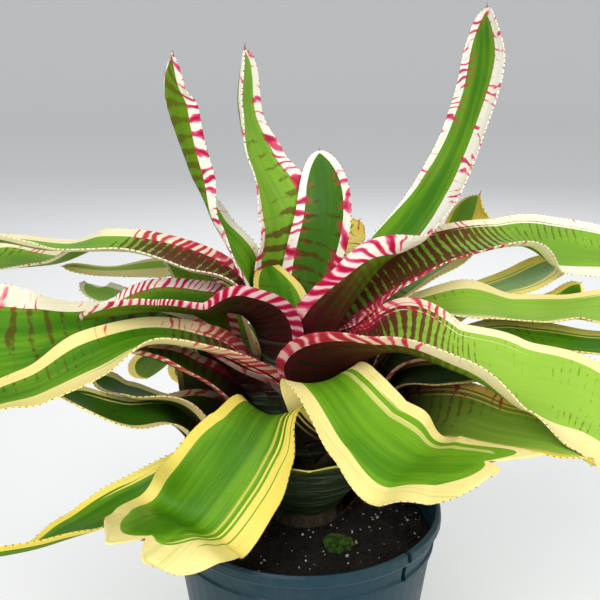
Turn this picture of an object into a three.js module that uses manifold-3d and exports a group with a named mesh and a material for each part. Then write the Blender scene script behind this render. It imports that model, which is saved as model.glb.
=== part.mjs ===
// A neoregelia bromeliad growing in a plastic nursery pot. Millimetres, +Z up.
// The origin is the centre of the pot's underside; +X is the right-hand side of the pot.
//
// Every leaf is a strap: a sheath that wraps the short stem, then a channelled blade.
// leaf_01 is the youngest, in the heart of the rosette; leaf_33 is the oldest and lowest.
import * as THREE from "three";
import { mergeVertices, toCreasedNormals } from "three/addons/utils/BufferGeometryUtils.js";
import Module from "manifold-3d";

const wasm = await Module();
wasm.setup();

const { PI, cos, sin, sqrt, min, max, abs } = Math;
const RIGHT = PI / 180;

// ---- pot ----
const POT_HEIGHT = 140;
const RIM_RADIUS = 76;
const BASE_RADIUS = 55;
const WALL = 1.4;
const FLOOR = 2;
const RIM_TALL = 7;          // height of the rolled lip
const RING_DROP = 17;        // top of the stacking ring, below the rim
const RING_TALL = 3;
const RING_OUT = 1.1;
const POT_SIDES = 54;
const DRAIN_HOLES = 6;
const DRAIN_RADIUS = 5;
const DRAIN_CIRCLE = 40;     // distance of the holes from the axis
const SPLIT_ANGLE = -46;     // the torn place in the lip
const SPLIT_WIDE = 3;
const SPLIT_TALL = 22;

// ---- potting mix ----
const MIX_EDGE = 124;        // level at the wall
const MIX_CROWN = 134;       // level of the mound round the plant
const MIX_RADIUS = 69.8;
const MIX_LUMP = 1.1;        // half height of the unevenness
const MIX_SIDES = 40;
const CLEAR = 0.3;           // gap left between pieces that rest on each other

// ---- stem and the nest of sheaths ----
const NEST_LOW = 136;        // where the oldest sheath leaves the stem
const NEST_TOP = 170;        // where the youngest leaves it, and blades begin
const STEM_FOOT = 22;        // radius of the stem at NEST_LOW
const STEM_TIP = 6;          // radius at NEST_TOP
const STEM_BURIED = 16;      // length of stem below the crown of the mix
const SHEATH_STEP = 30;      // degrees between the creases of a sheath
const SHEATH_WIDE = 80;      // a sheath is never wider than this, laid flat
const WRAP_MOST = 86;        // degrees a sheath reaches round each side
const THICK = 1.0;           // leaf thickness along the middle
const EDGE_THIN = 0.4;       // how much thinner the margin is
const NEST_PITCH = 1.36;     // radius gained by each sheath outside another
const TAPER_HEIGHT = 40;     // height over which a sheath turns into a blade
const NEST_FLARE = 0.01;     // share of its radius a sheath gains with each mm above NEST_TOP
const TRIM_GAP = 0.25;       // gap cut where an old leaf presses on a younger one

// ---- moss ----
const MOSS = { x: 17, y: -32, wide: 9, tall: 5 };

const NECKED = [1, 0.88, 0.94, 1, 1];  // share of its width that a strap has from base to tip
const TIP_LONG = 0.85;       // rounded end of a strap as a share of its width
const TIP_ROUND = 2.2;       // 1 would make the end pointed, more makes it fuller
const TIP_BLUNT = 1.2;       // width that is left at the very tip
const LOBE_FOLD = 2.6;       // a lobe swells to its full length part way across each half
const FLAT = 0.02;           // least bend of a cross-section
const BLADE_ROWS = 14;
const YOUNG_LEAVES = 8;      // the leaves of the heart, numbered from the innermost
const BASE_ROWS = 4;         // rows of points in the stub of an old leaf
const TIP_CROWD = 1.3;       // above 1 the rows of points crowd towards the tip

const smooth = (low, high, value) => {
  const t = min(1, max(0, (value - low) / (high - low)));
  return t * t * (3 - 2 * t);
};
const mix = (a, b, t) => a + (b - a) * t;

// Values spaced evenly from base to tip, passed through smoothly.
function spread(values, t) {
  const place = t * (values.length - 1);
  const first = min(values.length - 2, Math.floor(place));
  return mix(values[first], values[first + 1], smooth(0, 1, place - first));
}

// ---------------------------------------------------------------- solids
function toSolid(geometry) {
  const bare = new THREE.BufferGeometry();
  bare.setAttribute("position", geometry.getAttribute("position"));
  if (geometry.index) bare.setIndex(geometry.index);
  const merged = mergeVertices(bare, 1e-4);
  return new wasm.Manifold(new wasm.Mesh({
    numProp: 3,
    vertProperties: new Float32Array(merged.getAttribute("position").array),
    triVerts: new Uint32Array(merged.index.array),
  }));
}

function toGeometry(solid) {
  const { vertProperties, triVerts, numProp } = solid.getMesh();
  const points = [];
  for (let i = 0; i < vertProperties.length; i += numProp) {
    points.push(vertProperties[i], vertProperties[i + 1], vertProperties[i + 2]);
  }
  const geometry = new THREE.BufferGeometry();
  geometry.setAttribute("position", new THREE.Float32BufferAttribute(points, 3));
  geometry.setIndex(Array.from(triVerts));
  return geometry;
}

const largest = (solid) => {
  const pieces = solid.decompose();
  return pieces.sort((a, b) => b.volume() - a.volume())[0];
};

// A closed skin from two matching grids of points, the upper face and the lower face.
function skin(upper, lower) {
  const rows = upper.length;
  const columns = upper[0].length;
  const points = [...upper.flat(), ...lower.flat()];
  const top = (r, c) => r * columns + c;
  const under = (r, c) => rows * columns + r * columns + c;
  const index = [];
  const quad = (a, b, c, d) => index.push(a, b, c, a, c, d);
  for (let r = 0; r + 1 < rows; r++) {
    for (let c = 0; c + 1 < columns; c++) {
      quad(top(r, c), top(r + 1, c), top(r + 1, c + 1), top(r, c + 1));
      quad(under(r, c), under(r, c + 1), under(r + 1, c + 1), under(r + 1, c));
    }
    quad(top(r, 0), under(r, 0), under(r + 1, 0), top(r + 1, 0));
    const e = columns - 1;
    quad(top(r, e), top(r + 1, e), under(r + 1, e), under(r, e));
  }
  for (let c = 0; c + 1 < columns; c++) {
    quad(top(0, c), top(0, c + 1), under(0, c + 1), under(0, c));
    const e = rows - 1;
    quad(top(e, c), under(e, c), under(e, c + 1), top(e, c + 1));
  }
  const geometry = new THREE.BufferGeometry();
  geometry.setAttribute("position", new THREE.Float32BufferAttribute(
    points.flatMap((p) => [p.x, p.y, p.z]), 3));
  geometry.setIndex(index);
  return toSolid(geometry);
}

// ---------------------------------------------------------------- pot
function potSolid() {
  const outer = (z) => mix(BASE_RADIUS, RIM_RADIUS - 3, z / (POT_HEIGHT - RIM_TALL));
  const lipLow = POT_HEIGHT - RIM_TALL;
  const ringTop = POT_HEIGHT - RING_DROP;
  const ringLow = ringTop - RING_TALL;
  const profile = [
    [0, 0], [BASE_RADIUS - 1.5, 0], [BASE_RADIUS, 1.5],
    [outer(ringLow - 1), ringLow - 1],
    [outer(ringLow) + RING_OUT, ringLow],
    [outer(ringTop) + RING_OUT, ringTop],
    [outer(ringTop + 1), ringTop + 1],
    [outer(lipLow), lipLow],
    [RIM_RADIUS - 0.6, lipLow + 0.4],
    [RIM_RADIUS, lipLow + 1.6],
    [RIM_RADIUS - 0.3, POT_HEIGHT - 1.2],
    [RIM_RADIUS - 1.5, POT_HEIGHT],
    [RIM_RADIUS - 3, POT_HEIGHT - 0.4],
    [outer(lipLow) - WALL, lipLow],
    [outer(FLOOR) - WALL, FLOOR],
    [0, FLOOR],
  ];
  const points = profile.map(([r, h]) => new THREE.Vector2(r, h));
  const lathe = new THREE.LatheGeometry(points, POT_SIDES).rotateX(PI / 2);
  let pot = toSolid(lathe);
  for (let k = 0; k < DRAIN_HOLES; k++) {
    const angle = (k + 0.5) * (2 * PI / DRAIN_HOLES);
    const drill = new THREE.CylinderGeometry(DRAIN_RADIUS, DRAIN_RADIUS, 4 * FLOOR, 20);
    drill.rotateX(PI / 2);
    drill.translate(DRAIN_CIRCLE * cos(angle), DRAIN_CIRCLE * sin(angle), FLOOR / 2);
    pot = pot.subtract(toSolid(drill));
  }
  const tear = new THREE.BoxGeometry(16, SPLIT_WIDE, 2 * SPLIT_TALL);
  tear.translate(RIM_RADIUS, 0, POT_HEIGHT + SPLIT_TALL * 0.2);
  tear.rotateZ(SPLIT_ANGLE * RIGHT);
  return pot.subtract(toSolid(tear));
}

// ---------------------------------------------------------------- potting mix
function mixLevel(x, y) {
  const r = sqrt(x * x + y * y);
  const mound = mix(MIX_CROWN, MIX_EDGE, smooth(22, MIX_RADIUS, r));
  const lumps = sin(x * 0.21 + 1) * cos(y * 0.17) + 0.6 * sin(x * 0.11 - y * 0.31);
  return mound + MIX_LUMP * lumps * smooth(24, 34, r);
}

function mixSolid(raise) {
  const rings = [0, 12, 24, 30, 36, 43, 50, 57, 64, MIX_RADIUS];
  const low = FLOOR + CLEAR;
  const lowRadius = BASE_RADIUS - WALL - CLEAR;
  const around = [...Array(MIX_SIDES).keys()].map((k) => k * 2 * PI / MIX_SIDES);
  const points = [0, 0, MIX_CROWN + raise, 0, 0, low];
  for (const r of rings.slice(1)) {
    for (const a of around) {
      const [x, y] = [r * cos(a), r * sin(a)];
      points.push(x, y, mixLevel(x, y) + raise);
    }
  }
  for (const a of around) points.push(lowRadius * cos(a), lowRadius * sin(a), low);
  const at = (ring, k) => 2 + ring * MIX_SIDES + (k % MIX_SIDES);
  const index = [];
  const last = rings.length - 1;
  for (let k = 0; k < MIX_SIDES; k++) {
    index.push(0, at(0, k), at(0, k + 1));
    for (let ring = 0; ring < last; ring++) {
      index.push(at(ring, k), at(ring + 1, k), at(ring + 1, k + 1));
      index.push(at(ring, k), at(ring + 1, k + 1), at(ring, k + 1));
    }
    index.push(1, at(last, k + 1), at(last, k));
  }
  const geometry = new THREE.BufferGeometry();
  geometry.setAttribute("position", new THREE.Float32BufferAttribute(points, 3));
  geometry.setIndex(index);
  return toSolid(geometry);
}

// ---------------------------------------------------------------- stem
// Cone that the sheaths sit on; it stays inside the flats of the creased sheaths.
function stemSolid(grow) {
  const flat = cos(SHEATH_STEP / 2 * RIGHT);
  const inset = THICK / 2 + CLEAR + 0.1 - grow;
  const foot = MIX_CROWN - STEM_BURIED - grow;
  const profile = [
    [0, foot],
    [STEM_FOOT * 0.7 + grow, foot],
    [STEM_FOOT * flat - inset, foot + 8],
    [STEM_FOOT * flat - inset, NEST_LOW],
    [STEM_TIP * flat - inset, NEST_TOP],
    [0, NEST_TOP + 1],
  ].map(([r, h]) => new THREE.Vector2(r, h));
  return toSolid(new THREE.LatheGeometry(profile, 24).rotateX(PI / 2));
}

// ---------------------------------------------------------------- moss
function mossSolid() {
  const lump = new THREE.SphereGeometry(1, 18, 12);
  const place = lump.getAttribute("position");
  const p = new THREE.Vector3();
  for (let i = 0; i < place.count; i++) {
    p.fromBufferAttribute(place, i);
    const rough = 1 + 0.1 * sin(5 * p.x + 2) * cos(6 * p.y) + 0.06 * sin(9 * p.z);
    place.setXYZ(i, p.x * rough * MOSS.wide, p.y * rough * MOSS.wide * 0.8, p.z * rough * MOSS.tall);
  }
  lump.translate(MOSS.x, MOSS.y, mixLevel(MOSS.x, MOSS.y));
  return largest(toSolid(lump).subtract(mixSolid(CLEAR)));
}

// ---------------------------------------------------------------- leaves
// path: points on the midrib as [reach, height, side, roll]: distance from the axis in the
// leaf's own direction, height, distance to its left, and twist in degrees about the midrib.
// width: of the strap laid flat, from base to tip; a single width narrows where the blade arches.
// channel: degrees the blade's cross-section turns through, at the middle and at the tip.
// opens: heights between which the sheath opens into the blade; tip: rounded length / width.
// lobes: how far the tip stands out on each side of the midrib, left and right.
const LEAVES = [
  { turn: 140, width: [24, 26, 30, 34, 22], channel: [90, 60], tip: 1,
    path: [[8, 215, 5], [10, 240, 5, -10], [35, 265, -15, -5]] },
  { turn: 80, width: [34, 36, 35, 28], channel: [80, 50], tip: 1.3,
    path: [[13, 235, -10, -20], [21, 260, -7, -25], [28, 297, -7, -12], [47, 329]] },
  { turn: 125, width: [40, 42, 38], channel: [80, 70],
    path: [[18, 235, -8, -30], [30, 295, -8, -5], [41, 325, 2, 25], [49, 352, 7, 42],
      [48, 383, 5, 42]] },
  { turn: 38, width: [35, 36, 39, 38, 35], channel: [70, 50],
    path: [[18, 230, 7], [50, 260, 11, -10], [77, 278, 0, -5], [100, 304, -2, 5],
      [121, 338, -2, -5], [134, 373, 0, -5], [137, 406, 5, -20]] },
  { turn: 162, width: [29, 28, 30, 33], channel: [90, 60], tip: 1.1,
    path: [[19, 237, -15, -12], [34, 270, -5, -15], [50, 295, 0, 12], [60, 322, 3, 48],
      [68, 361, 8, 58], [61, 380, 20, 48]] },
  { turn: 20, width: [42, 40, 41, 46, 45], channel: [90, 50], opens: [205, 245],
    path: [[20, 230, 26], [36, 245, 27, 5], [60, 260, 18, 5], [90, 272, 11, 9], [129, 276, 10, 8],
      [160, 268, 15, 40], [192, 263, 10, 37], [237, 253, 0, 32]] },
  { turn: 168, width: [36, 35, 37, 39, 39], channel: [70, 50], opens: [204, 244],
    path: [[36, 261, 8, 3], [60, 272, 4, -8], [88, 280, 3, -4], [115, 280, 3, -5],
      [145, 276, -4, 9], [175, 279, -4, 14], [207, 277, -3, 4]] },
  { turn: 187, width: [45, 50, 52, 45], channel: [116, 100], opens: [213, 255],
    path: [[24, 243, 0, 34], [36, 252, 3, 22], [52, 252, 2], [75, 254, -2], [100, 252, 0, 10],
      [115, 249, -4, 7]] },
  { turn: -15, width: [76, 85, 65, 55, 52], channel: [100, 40], opens: [211, 225],
    path: [[32, 227, -13, -14], [52, 240, -14], [80, 232, -13, -3], [110, 219, -4, 14],
      [140, 210, 0, 36], [165, 197, 0, 40], [220, 176, 0, 40]] },
  { turn: 205, width: [43, 40, 41, 44, 43], channel: [82, 52], opens: [196, 226],
    path: [[36, 225, -7, -11], [58, 238, -5, -5], [84, 243, -9], [112, 236, -8, -15],
      [138, 226, -8, -3], [162, 223, -5, 5], [190, 208]] },
  { turn: 190, width: [46, 43, 43, 64, 62], channel: [70, 50], opens: [190, 230],
    path: [[37, 213, -8], [58, 232, -17, -3], [84, 241, -22, -3], [112, 242, -18, -7],
      [140, 239, -11, -36], [170, 238, -9, -52], [217, 225, -6, -35]] },
  { turn: 38, width: [38, 37, 36, 32, 34], channel: [60, 40], tip: 0.5,
    path: [[45, 239], [75, 256, -3, 3], [105, 266, -5, 4], [132, 285, 3, -4], [136, 298, 2, -28]] },
  { turn: -62, width: [45, 40, 48, 58, 46], channel: [60, -35], tip: 0.5, lobes: [22, 6], opens: [168, 200],
    path: [[38, 225, -10, 5], [57, 228, -14], [76, 213, -7, 3], [92, 203, 6, 20],
      [104, 205, 16, 25], [116, 207, 35, 20]] },
  { turn: 246, width: [44, 42, 58, 62, 62], channel: [72, -68], tip: 0.5, lobes: [10, 20], opens: [170, 205],
    path: [[38, 206, -2, 5], [50, 195, -7, -20], [64, 180, -14, -28], [80, 163, -24, -14],
      [100, 172, -24, -10], [122, 177, -23, -32]] },
  { turn: 8, width: [44, 43, 44, 46, 47], channel: [60, 40],
    path: [[46, 233, 7, -4], [70, 244, 10], [95, 247, 7, 15], [125, 240, 8, 5], [150, 240, 8],
      [180, 240, 0, 17], [204, 234, -4, 11]] },
  { turn: 200, width: 35, channel: [70, 50], opens: [178, 220],
    path: [[44, 209, -6, -14], [62, 223, -8, -7], [84, 234, -7, 6], [93, 237, -5, 16]] },
  { turn: 160, width: [33, 32, 34, 36, 38], channel: [70, 50],
    path: [[48, 213, 2, -15], [72, 235, -13, -13], [100, 256, -15], [130, 268, -13, 5],
      [160, 259, -12], [226, 257, -14, -25]] },
  { turn: 150, width: [27, 24, 20, 28, 29], channel: [60, 40],
    path: [[52, 211, -13, -15], [80, 258, -28, 3], [110, 256, -20, -9], [140, 254, -3, 6],
      [162, 257, 10, 7]] },
  { turn: -2, width: [44, 41, 38, 41, 45], channel: [60, 40],
    path: [[50, 222], [76, 226, 8], [105, 233, 12], [130, 230, 13, 4], [160, 228, 9],
      [195, 230, 5]] },
  { turn: 160, width: [34, 33, 31, 29, 33], channel: [60, 40],
    path: [[54, 209, -6], [76, 230, -4, 3], [100, 242, -2, 5], [124, 250, 5, -5],
      [132, 254, 2, 13]] },
  { turn: 30, width: [35, 35], channel: [60, 40],
    path: [[58, 214, 4], [88, 226, 2, -4], [120, 242, -3, -5], [150, 249, -8, 2],
      [179, 259, -7, 10]] },
  { turn: -5, width: [39, 40], channel: [60, 40],
    path: [[52, 209, 5, -5], [72, 213, 5], [100, 218, 5, 5]] },
  { turn: -22, width: [53, 54], channel: [60, 40],
    path: [[52, 193, 2, 7], [78, 201, 0, 11], [105, 201, -5, 4], [130, 201, -7],
      [152, 194, -4, -20]] },
  { turn: 224, width: [25, 26, 30, 34, 36], channel: [58, 40],
    path: [[50, 183, 6, -13], [70, 173, 0, -30], [98, 153, -13, -6], [127, 159, -17, 20],
      [151, 161, -16, 30], [202, 168, -28, 30]] },
  { turn: 188, width: [36, 30, 30, 40, 38], channel: [60, 40],
    path: [[52, 181, -4, -10], [70, 202, 2, 23], [94, 210, 4, 10], [111, 220, 2, -14]] },
  { turn: 206, width: [35, 30, 24, 30, 30], channel: [60, 40],
    path: [[54, 178, -13, -20], [74, 198, -15, -5], [98, 206, -8, -12], [129, 225, -4, -5]] },
  { turn: 18, width: [33, 33], channel: [60, 40],
    path: [[60, 188, -2, 8], [95, 214], [130, 230, 2, 2], [165, 240, 4, 3], [171, 251, 2, 3]] },
  { turn: 78, width: [24, 25, 29, 32], channel: [60, 40],
    path: [[57, 239, 13], [85, 257, 4], [115, 269, -4], [123, 276, -10]] },
  { turn: 58, width: [42, 43], channel: [60, 40],
    path: [[60, 198, -8, 20], [88, 207, -7, 5], [120, 200, -2], [146, 179]] },
  { turn: 105, width: [41, 43], channel: [60, 40],
    path: [[60, 202, -5], [88, 213, -2], [120, 205], [143, 187]] },
  { turn: 135, width: [42, 43], channel: [60, 40],
    path: [[60, 186, 5, -10], [88, 203, 3], [120, 197, 2], [147, 173]] },
  { turn: 90, width: [41, 41], channel: [60, 40],
    path: [[64, 185], [92, 196], [122, 184], [146, 155]] },
  { turn: 119, width: [39, 39], channel: [60, 40],
    path: [[66, 180], [96, 192], [126, 182], [151, 156]] },
];

// Bases of old leaves that were cut off, outside all the sheaths.
const OLD_BASES = [
  { turn: -88, width: 44, path: [[52, 184]] },
  { turn: 20, width: 40, path: [[52, 178]] },
  { turn: 140, width: 42, path: [[53, 180]] },
];

// Radius of each sheath where the blades begin: just outside every younger one it overlaps.
function nestRadii(rows) {
  const placed = [];
  const wrapAt = (r) => min(WRAP_MOST, SHEATH_WIDE / 2 / r / RIGHT);
  for (const row of rows) {
    let radius = STEM_TIP;
    for (const other of placed) {
      const apart = abs(((row.turn - other.turn + 540) % 360) - 180);
      if (apart < wrapAt(radius) + other.wrap) radius = max(radius, other.radius + NEST_PITCH);
    }
    placed.push({ turn: row.turn, radius, wrap: wrapAt(radius) });
  }
  const widest = max(...placed.map((p) => p.radius));
  return placed.map((p) => {
    const age = (p.radius - STEM_TIP) / (widest - STEM_TIP);
    return {
      ...p,
      footRadius: mix(STEM_TIP, STEM_FOOT, age),
      footHeight: mix(NEST_TOP, NEST_LOW, age),
    };
  });
}

// Columns of a sheath: its two margins, and the creases it shares with its neighbours.
function sheathColumns(turn, wrap) {
  const columns = [-1];
  const first = Math.ceil((turn - wrap) / SHEATH_STEP);
  for (let k = first; k * SHEATH_STEP < turn + wrap; k++) {
    const across = (k * SHEATH_STEP - turn) / wrap;
    if (abs(across) < 0.98) columns.push(across);
  }
  columns.push(1);
  return columns;
}

// Radius of the creased ring in a direction, as a share of its radius at the creases.
function creasedRing(degrees) {
  const off = ((degrees % SHEATH_STEP) + SHEATH_STEP) % SHEATH_STEP - SHEATH_STEP / 2;
  return cos(SHEATH_STEP / 2 * RIGHT) / cos(off * RIGHT);
}

function leafSolid(row, nest, grow = 0) {
  const turn = row.turn * RIGHT;
  const out = new THREE.Vector3(cos(turn), sin(turn), 0);
  const left = new THREE.Vector3(-sin(turn), cos(turn), 0);
  const spot = ([reach, height, side = 0]) =>
    out.clone().multiplyScalar(reach).addScaledVector(left, side).setZ(height);
  const rise = 0.45 * (row.path[0][1] - NEST_TOP);
  const flared = [nest.radius * (1 + NEST_FLARE * rise), NEST_TOP + rise];
  const knots = [[nest.radius, NEST_TOP], flared, ...row.path];
  const curve = new THREE.CatmullRomCurve3(knots.map(spot), false, "centripetal");
  curve.arcLengthDivisions = 400;
  const length = curve.getLength();
  const columns = sheathColumns(row.turn, nest.wrap);
  const { width, channel = [60, 60], tip = TIP_LONG, lobes = [0, 0] } = row;
  const [openLow, openHigh] = row.opens ?? [NEST_TOP, NEST_TOP + TAPER_HEIGHT];
  const widths = Array.isArray(width) ? width : NECKED.map((share) => share * width);
  const wrap = nest.wrap * RIGHT;
  const upper = [];
  const lower = [];

  const addRow = (centre, across, inward, wide, bend, ring, along, pinch) => {
    const radius = wide / bend;
    const faces = [[], []];
    for (const v of columns) {
      const angle = v * bend / 2;
      const shrink = ring ? creasedRing(row.turn + v * nest.wrap) : 1;
      const normal = inward.clone().multiplyScalar(cos(angle)).addScaledVector(across, -sin(angle));
      const point = centre.clone().addScaledVector(across, radius * sin(angle))
        .addScaledVector(inward, radius * (1 - cos(angle)));
      if (ring) point.addScaledVector(normal, radius * (1 - shrink));
      const lobe = (v > 0 ? lobes[0] : lobes[1]) * smooth(0, 1, pinch);
      point.addScaledVector(along, lobe * sin(LOBE_FOLD * abs(v)) ** 2);
      const half = THICK / 2 - EDGE_THIN / 2 * abs(v) ** 3 + grow;
      faces[0].push(point.clone().addScaledVector(normal, half));
      faces[1].push(point.clone().addScaledVector(normal, -half));
    }
    upper.push(faces[0]);
    lower.push(faces[1]);
  };

  const inward = out.clone().negate();
  const foot = spot([nest.footRadius, nest.footHeight]);
  addRow(foot, left, inward, 2 * wrap * nest.footRadius, 2 * wrap, true, left, 0);
  let opened = 0;
  const rows = row.path.length > 1 ? BLADE_ROWS : BASE_ROWS;
  for (let i = 0; i <= rows; i++) {
    const t = 1 - (1 - i / rows) ** TIP_CROWD;
    const centre = curve.getPointAt(t);
    const along = curve.getTangentAt(t);
    const knot = curve.getUtoTmapping(t) * (knots.length - 1);
    const k = min(knots.length - 2, Math.floor(knot));
    const roll = mix(knots[k][3] ?? 0, knots[k + 1][3] ?? 0, smooth(0, 1, knot - k)) * RIGHT;
    opened = max(opened, smooth(openLow, openHigh, centre.z));
    const flatAcross = left.clone().addScaledVector(along, -left.dot(along)).normalize();
    const flatInward = along.clone().cross(flatAcross);
    const across = flatAcross.clone().multiplyScalar(cos(roll)).addScaledVector(flatInward, sin(roll));
    const face = flatInward.clone().multiplyScalar(cos(roll)).addScaledVector(flatAcross, -sin(roll));
    face.lerp(inward, 1 - smooth(0, 0.5, opened)).normalize();
    const pinch = max(0, 1 - (1 - t) * length / (tip * widths.at(-1)));
    let wide = mix(2 * wrap * nest.radius, spread(widths, t), opened);
    wide *= sqrt(max(0, 1 - pinch ** TIP_ROUND));
    wide = max(wide, TIP_BLUNT) + 2 * grow;
    const free = mix(channel[0], channel[1], smooth(0.4, 1, t)) * RIGHT;
    const held = min(wide / max(centre.dot(out), 1), 2 * wrap);
    let bend = mix(max(free, held), free, smooth(0.35, 0.6, t));
    if (i === 0) bend = wide / nest.radius;
    if (abs(bend) < FLAT) bend = FLAT;
    addRow(centre, across, face, wide, bend, i === 0, along, pinch);
  }
  return skin(upper, lower);
}

// ---------------------------------------------------------------- assembly
const nests = nestRadii([...LEAVES, ...OLD_BASES]);
const straps = [...LEAVES, ...OLD_BASES].map((row, k) => {
  const number = String(k + 1).padStart(2, "0");
  const name = k < LEAVES.length ? `leaf_${number}` : `old_leaf_base_${k + 1 - LEAVES.length}`;
  return { name, row, nest: nests[k], solid: leafSolid(row, nests[k]) };
});

// Where an older leaf would pass through a younger one it is cut back from it.
straps.forEach((strap, k) => {
  for (const younger of straps.slice(0, k)) {
    const shared = strap.solid.intersect(younger.solid);
    if (shared.volume() < 1e-4) continue;
    strap.solid = largest(strap.solid.subtract(leafSolid(younger.row, younger.nest, TRIM_GAP)));
  }
});

const material = (color, roughness, metalness = 0) =>
  new THREE.MeshStandardMaterial({ color, roughness, metalness });

const part = new THREE.Group();
part.name = "neoregelia_in_pot";
const addPiece = (name, solid, look) => {
  const mesh = new THREE.Mesh(toCreasedNormals(toGeometry(solid), 0.6), look);
  mesh.name = name;
  part.add(mesh);
};

addPiece("pot", potSolid(), material("#3f7482", 0.55));
addPiece("potting_mix", mixSolid(0).subtract(stemSolid(CLEAR)), material("#2a211b", 0.95));
addPiece("stem", stemSolid(0), material("#6f6a3c", 0.8));
addPiece("moss_tuft", mossSolid(), material("#3f6b2a", 0.95));
const youngLook = material("#5f9a3c", 0.4);
const grownLook = material("#6aa338", 0.4);
const baseLook = material("#3c4a34", 0.7);
straps.forEach(({ name, solid }, k) => {
  const blade = k < YOUNG_LEAVES ? youngLook : grownLook;
  addPiece(name, solid, k < LEAVES.length ? blade : baseLook);
});

export default part;
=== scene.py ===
from math import cos, pi, radians, sin

import bpy
import numpy as np
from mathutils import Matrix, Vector
from mathutils.bvhtree import BVHTree


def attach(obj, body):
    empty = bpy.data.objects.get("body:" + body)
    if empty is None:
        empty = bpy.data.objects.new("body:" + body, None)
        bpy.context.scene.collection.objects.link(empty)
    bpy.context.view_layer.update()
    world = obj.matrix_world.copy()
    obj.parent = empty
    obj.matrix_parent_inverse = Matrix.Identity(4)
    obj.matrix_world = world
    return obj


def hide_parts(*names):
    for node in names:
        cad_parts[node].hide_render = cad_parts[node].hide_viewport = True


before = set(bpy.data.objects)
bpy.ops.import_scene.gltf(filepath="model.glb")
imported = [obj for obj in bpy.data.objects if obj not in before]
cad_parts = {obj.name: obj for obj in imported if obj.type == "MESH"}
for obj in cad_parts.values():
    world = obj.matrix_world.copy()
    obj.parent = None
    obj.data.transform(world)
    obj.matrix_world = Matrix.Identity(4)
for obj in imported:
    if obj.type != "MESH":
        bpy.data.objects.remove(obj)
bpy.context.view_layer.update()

# ---------------------------------------------------------------- camera
# The pot stands on a table and is seen from its front, from a little above the heart
# of the plant.
CAMERA_PLACE = (-0.0026, -0.4438, 0.3839)
CAMERA_DOWN = 16       # degrees that it looks down
CAMERA_LENS = 52.8     # mm, on a square picture 36 mm wide

camera = bpy.data.objects.new("camera", bpy.data.cameras.new("camera"))
camera.data.lens = CAMERA_LENS
camera.location = CAMERA_PLACE
camera.rotation_euler = (radians(90 - CAMERA_DOWN), 0, 0)
bpy.context.collection.objects.link(camera)
bpy.context.scene.camera = camera
bpy.context.scene.view_settings.view_transform = "Standard"

# ---------------------------------------------------------------- pot
# A thin nursery pot, blown in blue-green polypropylene, with a rolled lip, a stacking ring
# and a tear in the lip. It is dusty, scuffed and splashed with mix near the top.
POT_BLUE = (0.004, 0.031, 0.046, 1)
POT_WORN = (0.014, 0.052, 0.062, 1)
POT_DUST = (0.06, 0.075, 0.072, 1)
SPLASH_LOW, SPLASH_HIGH = 0.075, 0.142     # heights where splashes begin and are thickest


def put(tree, kind, inputs=(), **settings):
    """Adds a node; inputs gives its sockets, by name or number, a value or a node's output."""
    node = tree.nodes.new(kind)
    for name, value in settings.items():
        setattr(node, name, value)
    for socket, value in dict(inputs).items():
        if isinstance(value, bpy.types.NodeSocket):
            tree.links.new(value, node.inputs[socket])
        else:
            node.inputs[socket].default_value = value
    return node


def calc(tree, operation, *values):
    """Arithmetic on numbers or outputs."""
    return put(tree, "ShaderNodeMath", enumerate(values), operation=operation).outputs[0]


def times(tree, first, *others):
    """Numbers multiplied together."""
    for other in others:
        first = calc(tree, "MULTIPLY", first, other)
    return first


def step(tree, value, low, high, start=0.0, end=1.0):
    """A soft step from start to end as value goes from low to high."""
    return put(tree, "ShaderNodeMapRange", enumerate((value, low, high, start, end)),
               interpolation_type="SMOOTHSTEP").outputs[0]


def tint(tree, share, first, second):
    """A colour between two, by share."""
    node = put(tree, "ShaderNodeMix", {0: share, 6: first, 7: second}, data_type="RGBA")
    return node.outputs[2]


def noise(tree, place, scale, detail=2.0, roughness=0.5, distortion=0.0):
    """Noise with scale features to one unit of place."""
    return put(tree, "ShaderNodeTexNoise", {
        "Vector": place, "Scale": scale, "Detail": detail, "Roughness": roughness,
        "Distortion": distortion}).outputs[0]


def on_piece(tree):
    """Places on the piece, in metres."""
    return put(tree, "ShaderNodeTexCoord").outputs["Object"]


def bump(tree, height, strength, distance):
    """A normal that is tilted by the slope of height."""
    return put(tree, "ShaderNodeBump", {
        "Height": height, "Strength": strength, "Distance": distance}).outputs[0]


def finish_named(name, **shader_values):
    """A new material with its node tree and its shader, whose plain values are set here."""
    material = bpy.data.materials.new(name)
    material.use_nodes = True
    shader = material.node_tree.nodes["Principled BSDF"]
    for socket, value in shader_values.items():
        shader.inputs[socket.replace("_", " ")].default_value = value
    return material, material.node_tree, shader


def paint(tree, shader, **outputs):
    """Links outputs to the shader's sockets, named with _ for a space."""
    for socket, output in outputs.items():
        tree.links.new(output, shader.inputs[socket.replace("_", " ")])


def pot_plastic():
    material, tree, shader = finish_named("pot_plastic", Specular_IOR_Level=0.25)
    place = on_piece(tree)
    height = put(tree, "ShaderNodeSeparateXYZ", {0: place}).outputs["Z"]
    cloudy = noise(tree, place, 38, 4, 0.6)
    fine = noise(tree, place, 900, 2)
    scuffs = noise(tree, place, 190, 3, 0.7, 1.5)
    worn = times(tree, step(tree, scuffs, 0.56, 0.74), 0.7)
    splash = step(tree, height, SPLASH_LOW, SPLASH_HIGH)
    settled = step(tree, calc(tree, "MULTIPLY_ADD", fine, 0.25, cloudy), 0.55, 0.9)
    dust = times(tree, settled, calc(tree, "MULTIPLY_ADD", splash, 0.5, 0.12))
    colour = tint(tree, dust, tint(tree, worn, POT_BLUE, POT_WORN), POT_DUST)
    grain = calc(tree, "MULTIPLY_ADD", scuffs, 0.4, fine)
    paint(tree, shader, Base_Color=colour, Roughness=step(tree, dust, 0, 0.6, 0.42, 0.8),
          Normal=bump(tree, grain, 0.25, 0.0003))
    return material


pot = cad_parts["pot"]
pot.data.materials.clear()
pot.data.materials.append(pot_plastic())

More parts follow.
